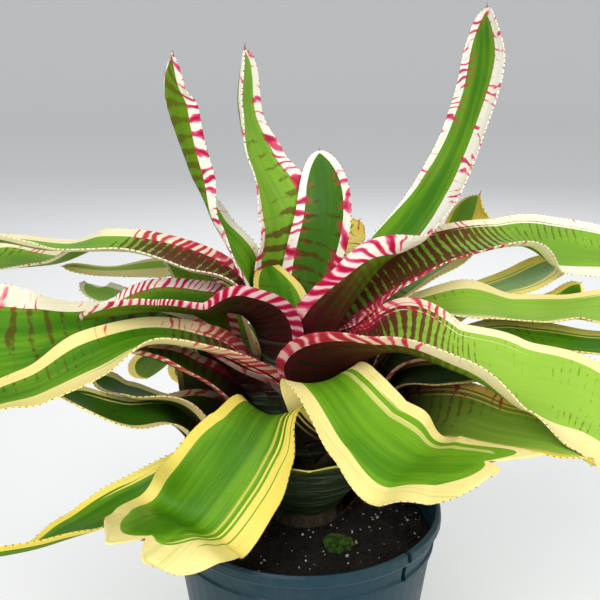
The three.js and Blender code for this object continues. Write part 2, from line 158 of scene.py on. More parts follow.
# ---------------------------------------------------------------- potting mix
# Dark peat and composted bark, mounded round the plant and pressed down at the wall, with
# white grains of perlite in it. The mound is one body; crumbs and perlite lie loose on it.
MIX_EDGE = 0.124           # height of its top at the wall
MIX_CROWN = 0.134          # height of its top round the stem
MIX_CROWN_RADIUS = 0.022
MIX_RADIUS = 0.0698
MIX_BOTTOM = 0.0023
MIX_BOTTOM_RADIUS = 0.0533
MIX_LUMPS = 0.0011         # height of the lumps in its top
MIX_GRAIN = 0.00022        # height of its grain
MIX_RINGS = 90
MIX_SIDES = 220
SCATTER_RINGS = 15         # of the plain ring that crumbs are scattered on
SCATTER_SIDES = 48
PEAT_DARK = (0.003, 0.0025, 0.002, 1)
PEAT_BROWN = (0.016, 0.0105, 0.007, 1)
PERLITE_WHITE = (0.42, 0.4, 0.36, 1)


def smooth(low, high, value):
    """A soft step from 0 to 1 as value goes from low to high."""
    share = np.clip((value - low) / (high - low), 0, 1)
    return share * share * (3 - 2 * share)


def mix_level(x, y):
    """Height of the mix at a place: a mound with lumps that fade out towards the stem."""
    r = np.hypot(x, y)
    mound = MIX_CROWN + (MIX_EDGE - MIX_CROWN) * smooth(MIX_CROWN_RADIUS, MIX_RADIUS, r)
    lumps = np.sin(210 * x + 1) * np.cos(170 * y) + 0.6 * np.sin(110 * x - 310 * y)
    return mound + MIX_LUMPS * lumps * smooth(0.024, 0.034, r)


def around(count):
    """Angles evenly spaced round a circle."""
    return np.arange(count) * 2 * pi / count


def between_rings(rings, sides, first=0, turned=False):
    """Faces between each ring of points and the next; turned has their other side outside."""
    faces = []
    for ring in range(rings - 1):
        a, b = first + ring * sides, first + (ring + 1) * sides
        for k in range(sides):
            n = (k + 1) % sides
            faces.append((a + k, a + n, b + n, b + k) if turned else (a + k, b + k, b + n, a + n))
    return faces


def mesh_object(name, points, faces, material):
    """A smooth-shaded object made of points and faces."""
    mesh = bpy.data.meshes.new(name)
    mesh.from_pydata(points, [], faces)
    mesh.materials.append(material)
    mesh.shade_smooth()
    piece = bpy.data.objects.new(name, mesh)
    bpy.context.collection.objects.link(piece)
    return piece


def mix_finish():
    material, tree, shader = finish_named("potting_mix", Specular_IOR_Level=0.25)
    place = on_piece(tree)
    crumbs = noise(tree, place, 420, 5, 0.7)
    patches = noise(tree, place, 60, 3)
    share = step(tree, calc(tree, "MULTIPLY_ADD", patches, 0.5, crumbs), 0.55, 1.0)
    paint(tree, shader, Base_Color=tint(tree, share, PEAT_DARK, PEAT_BROWN),
          Roughness=step(tree, crumbs, 0.3, 0.7, 0.75, 0.98),
          Normal=bump(tree, crumbs, 0.9, 0.0015))
    return material


def mix_mound():
    """The top as rings round the axis, then the sloping side and the flat bottom."""
    radii = np.linspace(0, MIX_RADIUS, MIX_RINGS + 1)[1:]
    angles = around(MIX_SIDES)
    random = np.random.default_rng(4)
    points = [(0, 0, MIX_CROWN)]
    for r in radii:
        x, y = r * np.cos(angles), r * np.sin(angles)
        rough = random.normal(0, MIX_GRAIN, MIX_SIDES) * smooth(0.02, 0.024, r)
        rough = rough * smooth(MIX_RADIUS, MIX_RADIUS - 0.001, r)
        points += list(zip(x, y, mix_level(x, y) + rough))
    low_x, low_y = MIX_BOTTOM_RADIUS * np.cos(angles), MIX_BOTTOM_RADIUS * np.sin(angles)
    points += [(x, y, MIX_BOTTOM) for x, y in zip(low_x, low_y)]
    faces = [(0, 1 + k, 1 + (k + 1) % MIX_SIDES) for k in range(MIX_SIDES)]
    faces += between_rings(MIX_RINGS + 1, MIX_SIDES, first=1)
    last = 1 + MIX_RINGS * MIX_SIDES
    faces.append(tuple(last + k for k in reversed(range(MIX_SIDES))))
    return points, faces


peat = mix_finish()
mound = mesh_object("potting_mix_mound", *mix_mound(), peat)
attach(mound, "root")
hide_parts("potting_mix")


def new_tree(name, inputs):
    """A geometry tree that takes and gives a mesh; inputs are (name, kind, value)."""
    tree = bpy.data.node_groups.new(name, "GeometryNodeTree")
    tree.interface.new_socket("Geometry", in_out="INPUT", socket_type="NodeSocketGeometry")
    for label, kind, value in inputs:
        socket = tree.interface.new_socket(label, in_out="INPUT", socket_type="NodeSocket" + kind)
        if value is not None:
            socket.default_value = value
    tree.interface.new_socket("Geometry", in_out="OUTPUT", socket_type="NodeSocketGeometry")
    return tree, tree.nodes.new("NodeGroupInput").outputs


def close_tree(tree, geometry, material):
    """Ends a tree: instances made real, material set."""
    real = put(tree, "GeometryNodeRealizeInstances", {0: geometry}).outputs[0]
    done = put(tree, "GeometryNodeSetMaterial", {"Geometry": real, "Material": material}).outputs[0]
    tree.links.new(done, tree.nodes.new("NodeGroupOutput").inputs[0])


def grown(base, tree, name, **values):
    """The plain mesh that a tree makes from a base mesh; the base object is removed."""
    modifier = base.modifiers.new("grow", "NODES")
    modifier.node_group = tree
    for item in tree.interface.items_tree:
        key = item.name.replace(" ", "_")
        if item.in_out == "INPUT" and key in values:
            modifier[item.identifier] = values[key]
    bpy.context.view_layer.update()
    evaluated = base.evaluated_get(bpy.context.evaluated_depsgraph_get())
    mesh = bpy.data.meshes.new_from_object(evaluated)
    bpy.data.objects.remove(base)
    mesh.name = name
    piece = bpy.data.objects.new(name, mesh)
    bpy.context.collection.objects.link(piece)
    return piece


def vector(tree, operation, *values):
    """Arithmetic on vectors."""
    return put(tree, "ShaderNodeVectorMath", enumerate(values), operation=operation).outputs[0]


def scaled(tree, direction, amount):
    """A vector made longer or shorter."""
    return put(tree, "ShaderNodeVectorMath", {0: direction, 3: amount},
               operation="SCALE").outputs[0]


def combined(tree, *numbers):
    """A vector of two or three numbers."""
    return put(tree, "ShaderNodeCombineXYZ", enumerate(numbers)).outputs[0]


def random_between(tree, low, high, seed):
    """A random vector between two tuples, or a random number between two numbers."""
    if isinstance(low, tuple):
        return put(tree, "FunctionNodeRandomValue", {"Min": low, "Max": high, "Seed": seed},
                   data_type="FLOAT_VECTOR").outputs[0]
    return put(tree, "FunctionNodeRandomValue", {2: low, 3: high, "Seed": seed},
               data_type="FLOAT").outputs[1]


def scattered(tree, given):
    """Points spread at random over the mesh that a tree is given, and their normals."""
    return put(tree, "GeometryNodeDistributePointsOnFaces", {
        "Mesh": given["Geometry"], "Density": given["Density"], "Seed": given["Seed"]}).outputs


def copies(tree, points, shape, turn, size):
    """A copy of a shape on each point, turned and sized."""
    return put(tree, "GeometryNodeInstanceOnPoints", {
        "Points": points, "Instance": shape, "Rotation": turn, "Scale": size}).outputs[0]


def crumb_tree():
    """Lumps scattered over the faces, each turned, sized and shaped at random."""
    tree, given = new_tree("scattered_crumbs", [
        ("Density", "Float", 1.0), ("Smallest", "Float", 0.001), ("Largest", "Float", 0.002),
        ("Flatness", "Float", 0.6), ("Roundness", "Int", 2), ("Seed", "Int", 0),
        ("Crumb Material", "Material", None)])
    ball = put(tree, "GeometryNodeMeshIcoSphere", {
        "Radius": 1.0, "Subdivisions": given["Roundness"]}).outputs[0]
    spot = put(tree, "GeometryNodeInputPosition").outputs[0]
    knock = put(tree, "ShaderNodeTexNoise", {
        "Vector": spot, "Scale": 1.1, "Detail": 1.0}).outputs[1]
    lump = put(tree, "GeometryNodeSetPosition", {
        "Geometry": ball, "Offset": vector(tree, "SUBTRACT", knock, (0.5, 0.5, 0.5))}).outputs[0]
    turn = random_between(tree, (0, 0, 0), (6.28, 6.28, 6.28), given["Seed"])
    size = random_between(tree, given["Smallest"], given["Largest"], given["Seed"])
    sized = scaled(tree, combined(tree, 1.0, 0.75, given["Flatness"]), size)
    crumbs = copies(tree, scattered(tree, given)["Points"], lump, turn, sized)
    smooth_faces = put(tree, "GeometryNodeSetShadeSmooth", {"Geometry": crumbs}).outputs[0]
    close_tree(tree, smooth_faces, given["Crumb Material"])
    return tree


def mix_top(name):
    """A plain ring of faces on the mound, to scatter on; its ends meet but aren't joined."""
    row = SCATTER_SIDES + 1
    angles = np.arange(row) * 2 * pi / SCATTER_SIDES
    radii = np.linspace(MIX_CROWN_RADIUS, MIX_RADIUS - 0.0015, SCATTER_RINGS + 1)
    points = [(r * cos(a), r * sin(a), float(mix_level(r * cos(a), r * sin(a))))
              for r in radii for a in angles]
    faces = [(i * row + k, (i + 1) * row + k, (i + 1) * row + k + 1, i * row + k + 1)
             for i in range(SCATTER_RINGS) for k in range(SCATTER_SIDES)]
    return mesh_object(name, points, faces, peat)


def perlite_finish():
    material, tree, shader = finish_named("perlite", Specular_IOR_Level=0.2, Roughness=0.9)
    place = on_piece(tree)
    dirt = noise(tree, place, 700, 3, 0.7)
    pits = noise(tree, place, 2600, 2)
    dirty = step(tree, dirt, 0.45, 0.75, 0, 0.85)
    paint(tree, shader, Base_Color=tint(tree, dirty, PERLITE_WHITE, PEAT_BROWN),
          Normal=bump(tree, pits, 0.6, 0.0003))
    return material


crumbs = crumb_tree()
perlite = perlite_finish()

# name, lumps to a square metre, smallest and largest radius, flatness, roundness, seed, material
CRUMB_PIECES = [
    ("mix_crumbs_small", 480000, 0.0002, 0.0008, 0.7, 1, 1, peat),
    ("mix_crumbs_bark", 26000, 0.0008, 0.0024, 0.35, 2, 2, peat),
    ("mix_perlite", 20000, 0.0002, 0.0009, 0.8, 1, 3, perlite),
    ("mix_perlite_large", 1500, 0.0009, 0.0015, 0.8, 2, 4, perlite),
]
for name, density, smallest, largest, flatness, roundness, seed, material in CRUMB_PIECES:
    crumb = grown(mix_top(name), crumbs, name, Density=float(density), Smallest=smallest,
                  Largest=largest, Flatness=flatness, Roundness=roundness, Seed=seed,
                  Crumb_Material=material)
    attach(crumb, "root")

# ---------------------------------------------------------------- stem
# The short woody stem that every sheath grows from. Only its foot shows, ringed by the
# scars of leaves that have gone and covered in dry brown fibre.
STEM_OUTLINE = [(0.1185, 0.0152), (0.126, 0.0203), (0.136, 0.0203), (0.17, 0.005),
                (0.171, 0.0005)]     # height and radius, from the buried foot to the tip
STEM_RINGS = 110
STEM_SIDES = 120
SCAR_PITCH = 0.0032
SCAR_DEPTH = 0.0004
BARK_GRAIN = 0.00006
BARK_DARK = (0.012, 0.009, 0.005, 1)
BARK_BROWN = (0.06, 0.042, 0.022, 1)


def stem_finish():
    material, tree, shader = finish_named("stem_bark", Specular_IOR_Level=0.2)
    place = on_piece(tree)
    fibre = noise(tree, vector(tree, "MULTIPLY", place, (1.0, 1.0, 0.12)), 900, 4, 0.7)
    rings = noise(tree, place, 160, 3)
    share = step(tree, calc(tree, "MULTIPLY_ADD", rings, 0.6, fibre), 0.6, 1.05)
    paint(tree, shader, Base_Color=tint(tree, share, BARK_DARK, BARK_BROWN),
          Roughness=step(tree, fibre, 0.3, 0.7, 0.7, 0.95),
          Normal=bump(tree, fibre, 0.8, 0.0008))
    return material


def stem_skin():
    """Rings of points from the buried foot to the tip, closed at both ends."""
    heights, radii = np.array(STEM_OUTLINE).T
    angles = around(STEM_SIDES)
    random = np.random.default_rng(11)
    points = []
    for level in np.linspace(heights[0], heights[-1], STEM_RINGS):
        scar = SCAR_DEPTH * abs(np.sin(pi * level / SCAR_PITCH))
        scar = scar + random.normal(0, BARK_GRAIN, STEM_SIDES)
        ring = np.maximum(np.interp(level, heights, radii) - scar, 0.0003)
        points += [(r * cos(a), r * sin(a), level) for r, a in zip(ring, angles)]
    faces = [tuple(reversed(range(STEM_SIDES)))]
    faces += between_rings(STEM_RINGS, STEM_SIDES, turned=True)
    faces.append(tuple(range((STEM_RINGS - 1) * STEM_SIDES, STEM_RINGS * STEM_SIDES)))
    return points, faces


stem = mesh_object("stem_core", *stem_skin(), stem_finish())
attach(stem, "root")
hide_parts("stem")

# ---------------------------------------------------------------- moss
# A tuft of moss that has grown on the mix: a low cushion, set all over with short shoots
# of pointed leaves.
MOSS_PLACE = (0.017, -0.032)
MOSS_WIDE = 0.0068         # radius to its sides
MOSS_DEEP = 0.8 * MOSS_WIDE     # radius to its front and back
MOSS_TALL = 0.0045
MOSS_SUNK = 0.25           # radians of the dome that lie under the mix
MOSS_RINGS = 14
MOSS_SIDES = 48
MOSS_DARK = (0.012, 0.035, 0.006, 1)
MOSS_LIGHT = (0.09, 0.2, 0.02, 1)


def moss_finish():
    material, tree, shader = finish_named("moss", Specular_IOR_Level=0.25, Roughness=0.8,
                                          Subsurface_Weight=0.1, Subsurface_Scale=0.001)
    place = on_piece(tree)
    tufts = noise(tree, place, 380, 3, 0.6)
    fine = noise(tree, place, 2400, 2)
    share = step(tree, calc(tree, "MULTIPLY_ADD", fine, 0.4, tufts), 0.5, 0.95)
    paint(tree, shader, Base_Color=tint(tree, share, MOSS_DARK, MOSS_LIGHT),
          Normal=bump(tree, fine, 0.5, 0.0004))
    return material


def moss_cushion():
    """A lumpy dome whose foot is just under the mix."""
    middle_x, middle_y = MOSS_PLACE
    ground = float(mix_level(middle_x, middle_y))
    points = []
    for ring in range(MOSS_RINGS):
        tilt = (ring / MOSS_RINGS) * (pi / 2 + MOSS_SUNK)
        level = tilt - MOSS_SUNK
        for angle in around(MOSS_SIDES):
            edge = 1 + 0.12 * sin(3 * angle + 1) + 0.07 * sin(7 * angle)
            lump = 1 + 0.16 * sin(9 * angle + 4 * tilt) * sin(5 * tilt)
            points.append((middle_x + MOSS_WIDE * edge * lump * cos(level) * cos(angle),
                           middle_y + MOSS_DEEP * edge * lump * cos(level) * sin(angle),
                           ground + MOSS_TALL * lump * sin(level)))
    points.append((middle_x, middle_y, ground + MOSS_TALL))
    faces = [tuple(reversed(range(MOSS_SIDES)))]
    faces += between_rings(MOSS_RINGS, MOSS_SIDES, turned=True)
    top, peak = (MOSS_RINGS - 1) * MOSS_SIDES, MOSS_RINGS * MOSS_SIDES
    faces += [(top + k, top + (k + 1) % MOSS_SIDES, peak) for k in range(MOSS_SIDES)]
    return points, faces


def spike(tree, sides, segments, girth):
    """A cone one long, standing on end."""
    return put(tree, "GeometryNodeMeshCone", {
        "Vertices": sides, "Side Segments": segments, "Radius Top": 0.0, "Radius Bottom": girth,
        "Depth": 1.0}).outputs[0]


def facing(tree, heading):
    """The turn that points something that stands on end along heading."""
    return put(tree, "FunctionNodeAlignRotationToVector", {"Vector": heading},
               axis="Z").outputs[0]


def joined(tree, *parts):
    """Several meshes as one."""
    node = put(tree, "GeometryNodeJoinGeometry")
    for part in parts:
        tree.links.new(part, node.inputs[0])
    return node.outputs[0]


def shoot_tree():
    """Keeps the cushion and sets pointed leaves on it, leaning out at random."""
    tree, given = new_tree("moss_shoots", [
        ("Density", "Float", 1.0), ("Leaf Length", "Float", 0.001), ("Seed", "Int", 0),
        ("Moss Material", "Material", None)])
    points = scattered(tree, given)
    lean = random_between(tree, (-0.7, -0.7, 0.1), (0.7, 0.7, 1.0), given["Seed"])
    turn = facing(tree, vector(tree, "ADD", points["Normal"], lean))
    size = times(tree, random_between(tree, 0.5, 1.0, given["Seed"]), given["Leaf Length"])
    shoots = copies(tree, points["Points"], spike(tree, 4, 2, 0.16), turn, size)
    close_tree(tree, joined(tree, given["Geometry"], shoots), given["Moss Material"])
    return tree


moss_green = moss_finish()
cushion = mesh_object("moss_cushion", *moss_cushion(), moss_green)
moss = grown(cushion, shoot_tree(), "moss_shoots", Density=9000000.0, Leaf_Length=0.0018, Seed=5,
             Moss_Material=moss_green)
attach(moss, "root")
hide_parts("moss_tuft")

# ---------------------------------------------------------------- leaves
# Each leaf is one leathery strap. Its sheath wraps the stem inside those of older leaves, and
# above the nest it opens into a channelled blade that arches out. The white to yellow margins
# are barred with red and carry small hooked spines, and the tip ends in a spine.
MM = 0.001
NEST_LOW = 136         # mm, where the oldest sheath leaves the stem
NEST_TOP = 170         # mm, where the youngest leaves it, and blades begin
STEM_FOOT = 22         # mm, radius of the stem at NEST_LOW
STEM_TIP = 6           # mm, radius at NEST_TOP
SHEATH_WIDE = 80       # mm, widest that a sheath is, laid flat
WRAP_MOST = 86         # degrees that a sheath reaches round each side
NEST_PITCH = 1.36      # mm of radius gained by each sheath outside another
NEST_FLARE = 0.01      # share of its radius that a sheath gains with each mm above NEST_TOP
CONE_RISE = 0.45       # share of the way to its path that a sheath goes on as a cone
TAPER_HEIGHT = 40      # mm over which a sheath turns into a blade
LEAST_BEND = 0.02      # radians that the flattest section turns through
NECKED = np.array([1, 0.88, 0.94, 1, 1])   # a blade is narrower where it arches
FINE_TIP = 1.2         # mm, width of the very tip
TORN_TIP = 0.4         # share of its width that a leaf with a torn tip keeps to its end
TIP_FULLNESS = 2.2     # how full the outline stays towards the point
TIP_CROWDING = 1.3     # how much closer the rows lie towards the tip
SHEATH_ROWS = 6
BLADE_ROWS = 130
BLADE_COLUMNS = 27

# turn: degrees from the x axis to the leaf's own direction. path: points on its midrib as
# (reach, height, side, roll): mm from the axis in that direction, mm above the table, mm to
# its left, and twist in degrees; what is left out is 0. channel: degrees that the section
# turns through, at mid blade and at the tip. tip: length of the point, in widths. lobes: mm
# that the left and right half of a torn tip stand out. opens: heights between which the
# sheath turns into the blade.
#
# Each of these is given from base to tip, in two to five evenly spaced values:
# width: mm, laid flat; one value alone is narrowed as NECKED says. left, right: width of each
# pale margin, mm. bars: how red the left and the right margin are barred. bands: dark
# cross-bands on the green. pale: 0 white to 1 yellow.
#
# lines: pale lines beside the left and right margin. deep: how dark the green is, or below 0 how
# pale; this paleness is partly painted light, on leaves that lie in the shade of others. pitch: mm
# from one bar to the next. flush: mm of blade that is flushed dark red and painted with the shade
# of the heart.
# wavy: mm that the margins ripple. holds: number of the leaf inside its sheath, which doesn't
# press on it. over: it starts on the far side of the heart from its tip, so younger leaves
# rest on it instead of pressing it down.
LEAVES = [
    dict(turn=140, width=(24, 26, 30, 34, 22), channel=(90, 60), tip=1.0,
         path=[(8, 215, 5), (10, 240, 5, -10), (38, 270, -12, -5)],
         left=(3, 4, 4), right=(3, 4, 4), bars=((1, 0.6, 0.1), (1, 0.6, 0.1)), bands=(1, 0.4, 0.1),
         pale=(0.3, 0.9), flush=75),
    dict(turn=80, width=(24, 30, 35, 28), channel=(70, 50), tip=1.3,
         path=[(20, 235, 6, -12), (27, 260, 2, -18), (30, 297, -6, -12), (47, 329)],
         left=(4, 6, 6, 4), right=(4, 6, 6, 4),
         bars=((1, 0.9, 0.9, 0.75, 0.4), (1, 0.9, 0.85, 0.7, 0.3)),
         bands=(0.9, 0.6, 0.5, 0.35, 0.1), pale=(0.05, 0.05), lines=(0.2, 0.2), pitch=8,
         tone_and_painted_light=0.75, flush=95),
    dict(turn=125, width=(40, 42, 38), channel=(80, 70),
         path=[(18, 235, -8, -30), (30, 295, -8, -5), (41, 325, 2, 25), (49, 352, 7, 42),
               (48, 383, 5, 42)],
         left=(4, 6, 6), right=(4, 6, 5), bars=((0.8, 0.8, 0.6, 0.45, 0.4), (0.8, 0.8, 0.7, 0.4)),
         bands=(0.9, 0.8, 0.55, 0.1, 0), pale=(0.05, 0.05), lines=(0.2, 0.2), pitch=8,
         tone_and_painted_light=-0.35, flush=95),
    dict(turn=38, width=(50, 44, 39, 38, 35), channel=(110, 50), opens=(220, 258), holds=2,
         path=[(8, 238, -13, -60), (30, 265, -14, -62), (68, 281, -8, 4), (100, 304, -2, 4),
               (121, 338, -2, -5), (134, 373, 0, -5), (137, 406, 5, -20)],
         left=(3, 0.5, 0.5, 5, 6), right=(3, 5, 16, 17, 9),
         bars=((0.9, 0.7, 0.3, 0.5, 0.5), (1, 0.95, 0.45, 0.45, 0.55)),
         bands=(1, 0.8, 0.05, 0, 0), pale=(0.05, 0.05), lines=(0.3, 0.2), pitch=5.5, tone_and_painted_light=0.2,
         flush=135),
    dict(turn=162, width=(29, 28, 30, 33), channel=(90, 60), tip=1.1,
         path=[(19, 237, -15, -12), (34, 270, -5, -15), (50, 295, 0, 12), (60, 322, 3, 48),
               (68, 361, 8, 58), (61, 380, 20, 48)],
         left=(4, 6, 7, 6), right=(4, 3.5, 3.5, 6, 5),
         bars=((0.7, 0.5, 0.5, 0.6, 0.5), (0.9, 0.5, 0.3, 0.7, 0.6)),
         bands=(0.6, 0.3, 0.15, 0.65, 0.5), pale=(0.05, 0.05), pitch=8, tone_and_painted_light=0.1, flush=90),
    dict(turn=20, width=(42, 40, 41, 46, 45), channel=(90, 50), opens=(205, 245),
         path=[(18, 234, 18, 25), (36, 250, 18, 32), (60, 263, 14, 24), (90, 273, 10, 14),
               (129, 276, 10, 8), (160, 268, 15, 40), (192, 263, 10, 37), (237, 253, 0, 32)],
         left=(5, 6, 4.5, 5, 6), right=(5, 7, 6, 9, 16),
         bars=((1, 0.9, 0.5, 0.3, 0.3), (1, 1, 0.85, 0.15, 0.1)),
         bands=(1, 1, 0.85, 0.1, 0), pale=(0.3, 0.3, 0.1), lines=(0.4, 0.2), pitch=4.8, tone_and_painted_light=-0.4,
         flush=130),
    dict(turn=168, width=(36, 35, 37, 39, 39), channel=(70, 50), opens=(204, 244),
         path=[(36, 263, 6, 3), (60, 273, 4, -8), (88, 280, 3, -4), (115, 280, 3, -5),
               (145, 276, -4, 9), (175, 279, -4, 14), (207, 277, -3, 4)],
         left=(5, 5, 5, 7, 6), right=(4, 5, 6, 6, 6),
         bars=((1, 0.8, 0.2, 0, 0), (1, 1, 0.8, 0, 0.5)),
         bands=(1, 1, 0.85, 0, 0.4), pale=(0.2, 0.5), pitch=4.8, tone_and_painted_light=-0.2, flush=130),
    dict(turn=187, width=(45, 50, 52, 45), channel=(116, 100), opens=(213, 255),
         path=[(24, 243, 0, 34), (36, 252, 3, 22), (52, 252, 2), (75, 254, -2),
               (100, 252, 0, 10), (115, 249, -4, 7)],
         left=(5, 6, 6, 4, 3), right=(5, 6, 7, 6, 5),
         bars=((1, 0.85, 0.8, 0.7, 0.5), (1, 0.85, 0.8, 0.6, 0.4)),
         bands=(1, 0.8, 0.4, 0), pale=(0.05, 0.05), pitch=3.2, over=True, flush=150),
    dict(turn=-15, width=(76, 85, 65, 55, 52), channel=(100, 40), opens=(211, 225),
         path=[(32, 227, -13, -14), (52, 240, -14), (80, 232, -13, -3), (110, 219, -4, 14),
               (140, 210, 0, 36), (165, 197, 0, 40), (220, 176, 0, 40)],
         left=(5, 6, 5, 6, 6), right=(6, 6, 9, 17, 18),
         bars=((1, 1, 0.1, 0, 0), (1, 0.8, 0.15, 0.12, 0.05)),
         bands=(1, 1, 0.25, 0.14, 0), pale=(0.2, 0.75), lines=(0.9, 0.3), pitch=3.8, tone_and_painted_light=-0.75,
         flush=115),
    dict(turn=205, width=(43, 40, 41, 44, 43), channel=(82, 15), opens=(196, 226),
         path=[(36, 225, -7, -11), (58, 238, -5, -5), (84, 243, -9), (112, 236, -8, -15),
               (138, 226, -8, -3), (162, 223, -5, 5), (190, 208)],
         left=(5, 7, 11, 15, 15), right=(5, 8, 6, 6, 8),
         bars=((1, 0.8, 0.1, 0.05, 0.1), (1, 0.8, 0.35, 0.2, 0.35)),
         bands=(1, 0.9, 0.2, 0.15, 0.1), pale=(0.5, 0.8), lines=(0.3, 0.4), pitch=5, flush=115),
    dict(turn=190, width=(46, 43, 43, 64, 62), channel=(70, 50), opens=(190, 230),
         path=[(37, 213, -8), (58, 232, -17, -3), (84, 241, -22, -3), (112, 242, -18, -7),
               (140, 239, -11, -36), (170, 238, -9, -52), (217, 225, -6, -35)],
         left=(4, 6, 6), right=(4, 5, 7, 12, 16),
         bars=((1, 0.6, 0.2, 0.2, 0.2), (1, 0.5, 0.12, 0.4, 0.4)),
         bands=(1, 0.8, 0.35, 0.4, 0.3), pale=(0.4, 0.15), lines=(0.2, 0.1), pitch=9, tone_and_painted_light=0.1,
         flush=120),
    dict(turn=38, width=(38, 37, 36, 32, 34), tip=0.5,
         path=[(45, 239), (75, 256, -3, 3), (105, 266, -5, 4), (132, 285, 3, -4),
               (136, 298, 2, -28)],
         left=(4, 4, 1.5), right=(4, 8, 17), bars=((0.8, 0.3, 0.1), (0.8, 0.3, 0.1)),
         bands=(0.8, 0.2, 0), pale=(0.5, 1), lines=(0.3, 0.3), tone_and_painted_light=-0.3),
    dict(turn=-62, width=(45, 40, 48, 58, 46), channel=(60, -35), tip=0.5, lobes=(22, 6),
         opens=(168, 200),
         path=[(38, 225, -10, 5), (57, 228, -14), (76, 213, -7), (92, 203, 4, 12),
               (106, 206, 13, 20), (122, 211, 25, 20)],
         left=(4, 8, 8, 9, 10), right=(4, 8, 10, 11, 10),
         bars=((0.1, 0.3, 0.2, 0.1, 0.2), (0.1, 0, 0, 0, 0.1)), wavy=0.3,
         bands=(0.3, 0.1, 0, 0, 0), pale=(0.7, 0.75), lines=(1, 0.1), tone_and_painted_light=0, flush=70),
    dict(turn=246, width=(44, 42, 58, 62, 62), channel=(72, -68), tip=0.5, lobes=(10, 20),
         opens=(170, 205),
         path=[(38, 206, -2, 5), (50, 195, -7, -20), (64, 180, -14, -28), (80, 163, -24, -14),
               (100, 172, -24, -10), (122, 177, -23, -32)],
         left=(4, 8, 14, 16, 18), right=(4, 6, 6, 7, 14),
         bars=((0, 0), (0, 0, 0, 0, 0.35)),
         bands=(0.3, 0, 0), pale=(0.95, 0.95, 0.7), lines=(0.9, 0.15), tone_and_painted_light=0, flush=60),
    dict(turn=8, width=(44, 43, 44, 46, 47),
         path=[(46, 233, 7, -4), (70, 244, 10), (95, 247, 7, 15), (125, 240, 8, 5),
               (150, 240, 8), (180, 240, 0, 17), (204, 234, -4, 11)],
         left=(4, 6, 9, 6, 6), right=(4, 6, 6, 8, 8),
         bars=((1, 0.6, 0.08, 0.02, 0), (1, 0.6, 0.1, 0.05, 0)),
         bands=(0.9, 0.3, 0.05, 0, 0), pale=(0.4, 0.75), lines=(0.8, 0.8), tone_and_painted_light=-0.6),
    dict(turn=200, width=35, channel=(70, 50), opens=(178, 220),
         path=[(44, 209, -6, -14), (62, 223, -8, -7), (84, 234, -7, 6), (93, 237, -5, 16)],
         left=(5, 5, 4), right=(5, 5, 4), bars=((1, 0.8, 0.6), (1, 0.8, 0.6)),
         bands=(0.9, 0.5, 0.2), pale=(0.5, 0.6), tone_and_painted_light=0.5),
    dict(turn=160, width=(33, 29, 28, 34, 38), channel=(40, 50),
         path=[(46, 220, 0, -15), (62, 256, -10), (94, 272, -17, 8), (130, 273, -15, 8),
               (160, 261, -12), (226, 257, -14, -25)],
         left=(0.5, 2, 4), right=(4, 5, 5), bars=((0.1, 0.2, 0.5), (1, 0.5, 0.4)),
         bands=(0.3, 0.1, 0.3), pale=(0.3, 0.4), tone_and_painted_light=-0.3),
    dict(turn=150, width=(38, 26, 20, 17, 8), channel=(30, 10), tip=1.6,
         path=[(52, 211, -13, -15), (80, 258, -28, -5), (110, 256, -20, -32), (140, 254, -3, -12),
               (162, 257, 10, -25)],
         left=(3, 6, 10, 7), right=(3, 3, 2), bars=((1, 0.2, 0), (1, 0.2, 0)),
         bands=(0.8, 0.2, 0), pale=(0.5, 0.7), tone_and_painted_light=-0.7),
    dict(turn=-2, width=(44, 41, 38, 41, 45),
         path=[(50, 222), (76, 226, 8), (105, 233, 12), (130, 230, 13, 4), (160, 228, 9),
               (195, 230, 5)],
         left=(4, 6, 7, 6), right=(4, 6, 6), bars=((1, 0.3, 0.1, 0.05), (1, 0.3, 0.05)),
         bands=(0.8, 0.2, 0), pale=(0.6, 0.9), lines=(0.4, 0.4), tone_and_painted_light=0),
    dict(turn=160, width=(34, 33, 31, 29, 33),
         path=[(54, 209, -6), (76, 230, -4, 3), (100, 242, -2, 5), (124, 250, 5, -5),
               (132, 254, 2, 13)],
         left=(3, 4, 4), right=(3, 5, 4), bars=((1, 0.3, 0.1), (1, 0.3, 0.1)),
         bands=(0.8, 0.2, 0), pale=(0.3, 0.1), tone_and_painted_light=-0.4),
    dict(turn=30, width=(35, 35),
         path=[(58, 214, 4), (88, 226, 2, -4), (120, 242, -3, -5), (150, 249, -8, 2),
               (179, 259, -7, 10)],
         left=(3, 5, 6, 7), right=(3, 6, 7, 8), bars=((1, 0.2, 0.1), (1, 0.2, 0.12)),
         bands=(0.8, 0.1, 0), pale=(0.8, 1), lines=(0.4, 0.5), tone_and_painted_light=-0.3),
    dict(turn=-5, width=(39, 40),
         path=[(52, 209, 5, -5), (72, 213, 5), (100, 218, 5, 5)],
         left=(4, 5, 4), right=(4, 5, 5), bars=((1, 0.3, 0), (1, 0.3, 0)), bands=(0.8, 0.2, 0),
         pale=(0.6, 0.8), tone_and_painted_light=0.7),
    dict(turn=-22, width=(53, 54),
         path=[(52, 193, 2, 7), (78, 201, 0, 11), (105, 201, -5, 4), (130, 201, -7),
               (152, 194, -4, -20)],
         left=(4, 8, 9, 7), right=(4, 7, 8, 8), bars=((1, 0.5, 0.35, 0.2), (1, 0.3, 0.2, 0.1)),
         bands=(0.7, 0.1, 0), pale=(0.9, 1), lines=(0.7, 0.5), tone_and_painted_light=-0.8),
    dict(turn=224, width=(34, 32, 34, 26, 20), channel=(58, 40), opens=(168, 184),
         path=[(50, 182, 5, -13), (70, 176, -6, -30), (98, 166, -19, -14), (127, 165, -20, 12),
               (151, 167, -17, 28), (202, 175, -26, 34)],
         left=(3, 3, 3), right=(3, 4, 4), bars=((0.2, 0, 0), (0.2, 0, 0)), bands=(0.3, 0, 0),
         pale=(0.9, 1), lines=(0.3, 0.6), tone_and_painted_light=0.4, flush=60),
    dict(turn=188, width=(36, 30, 30, 40, 38),
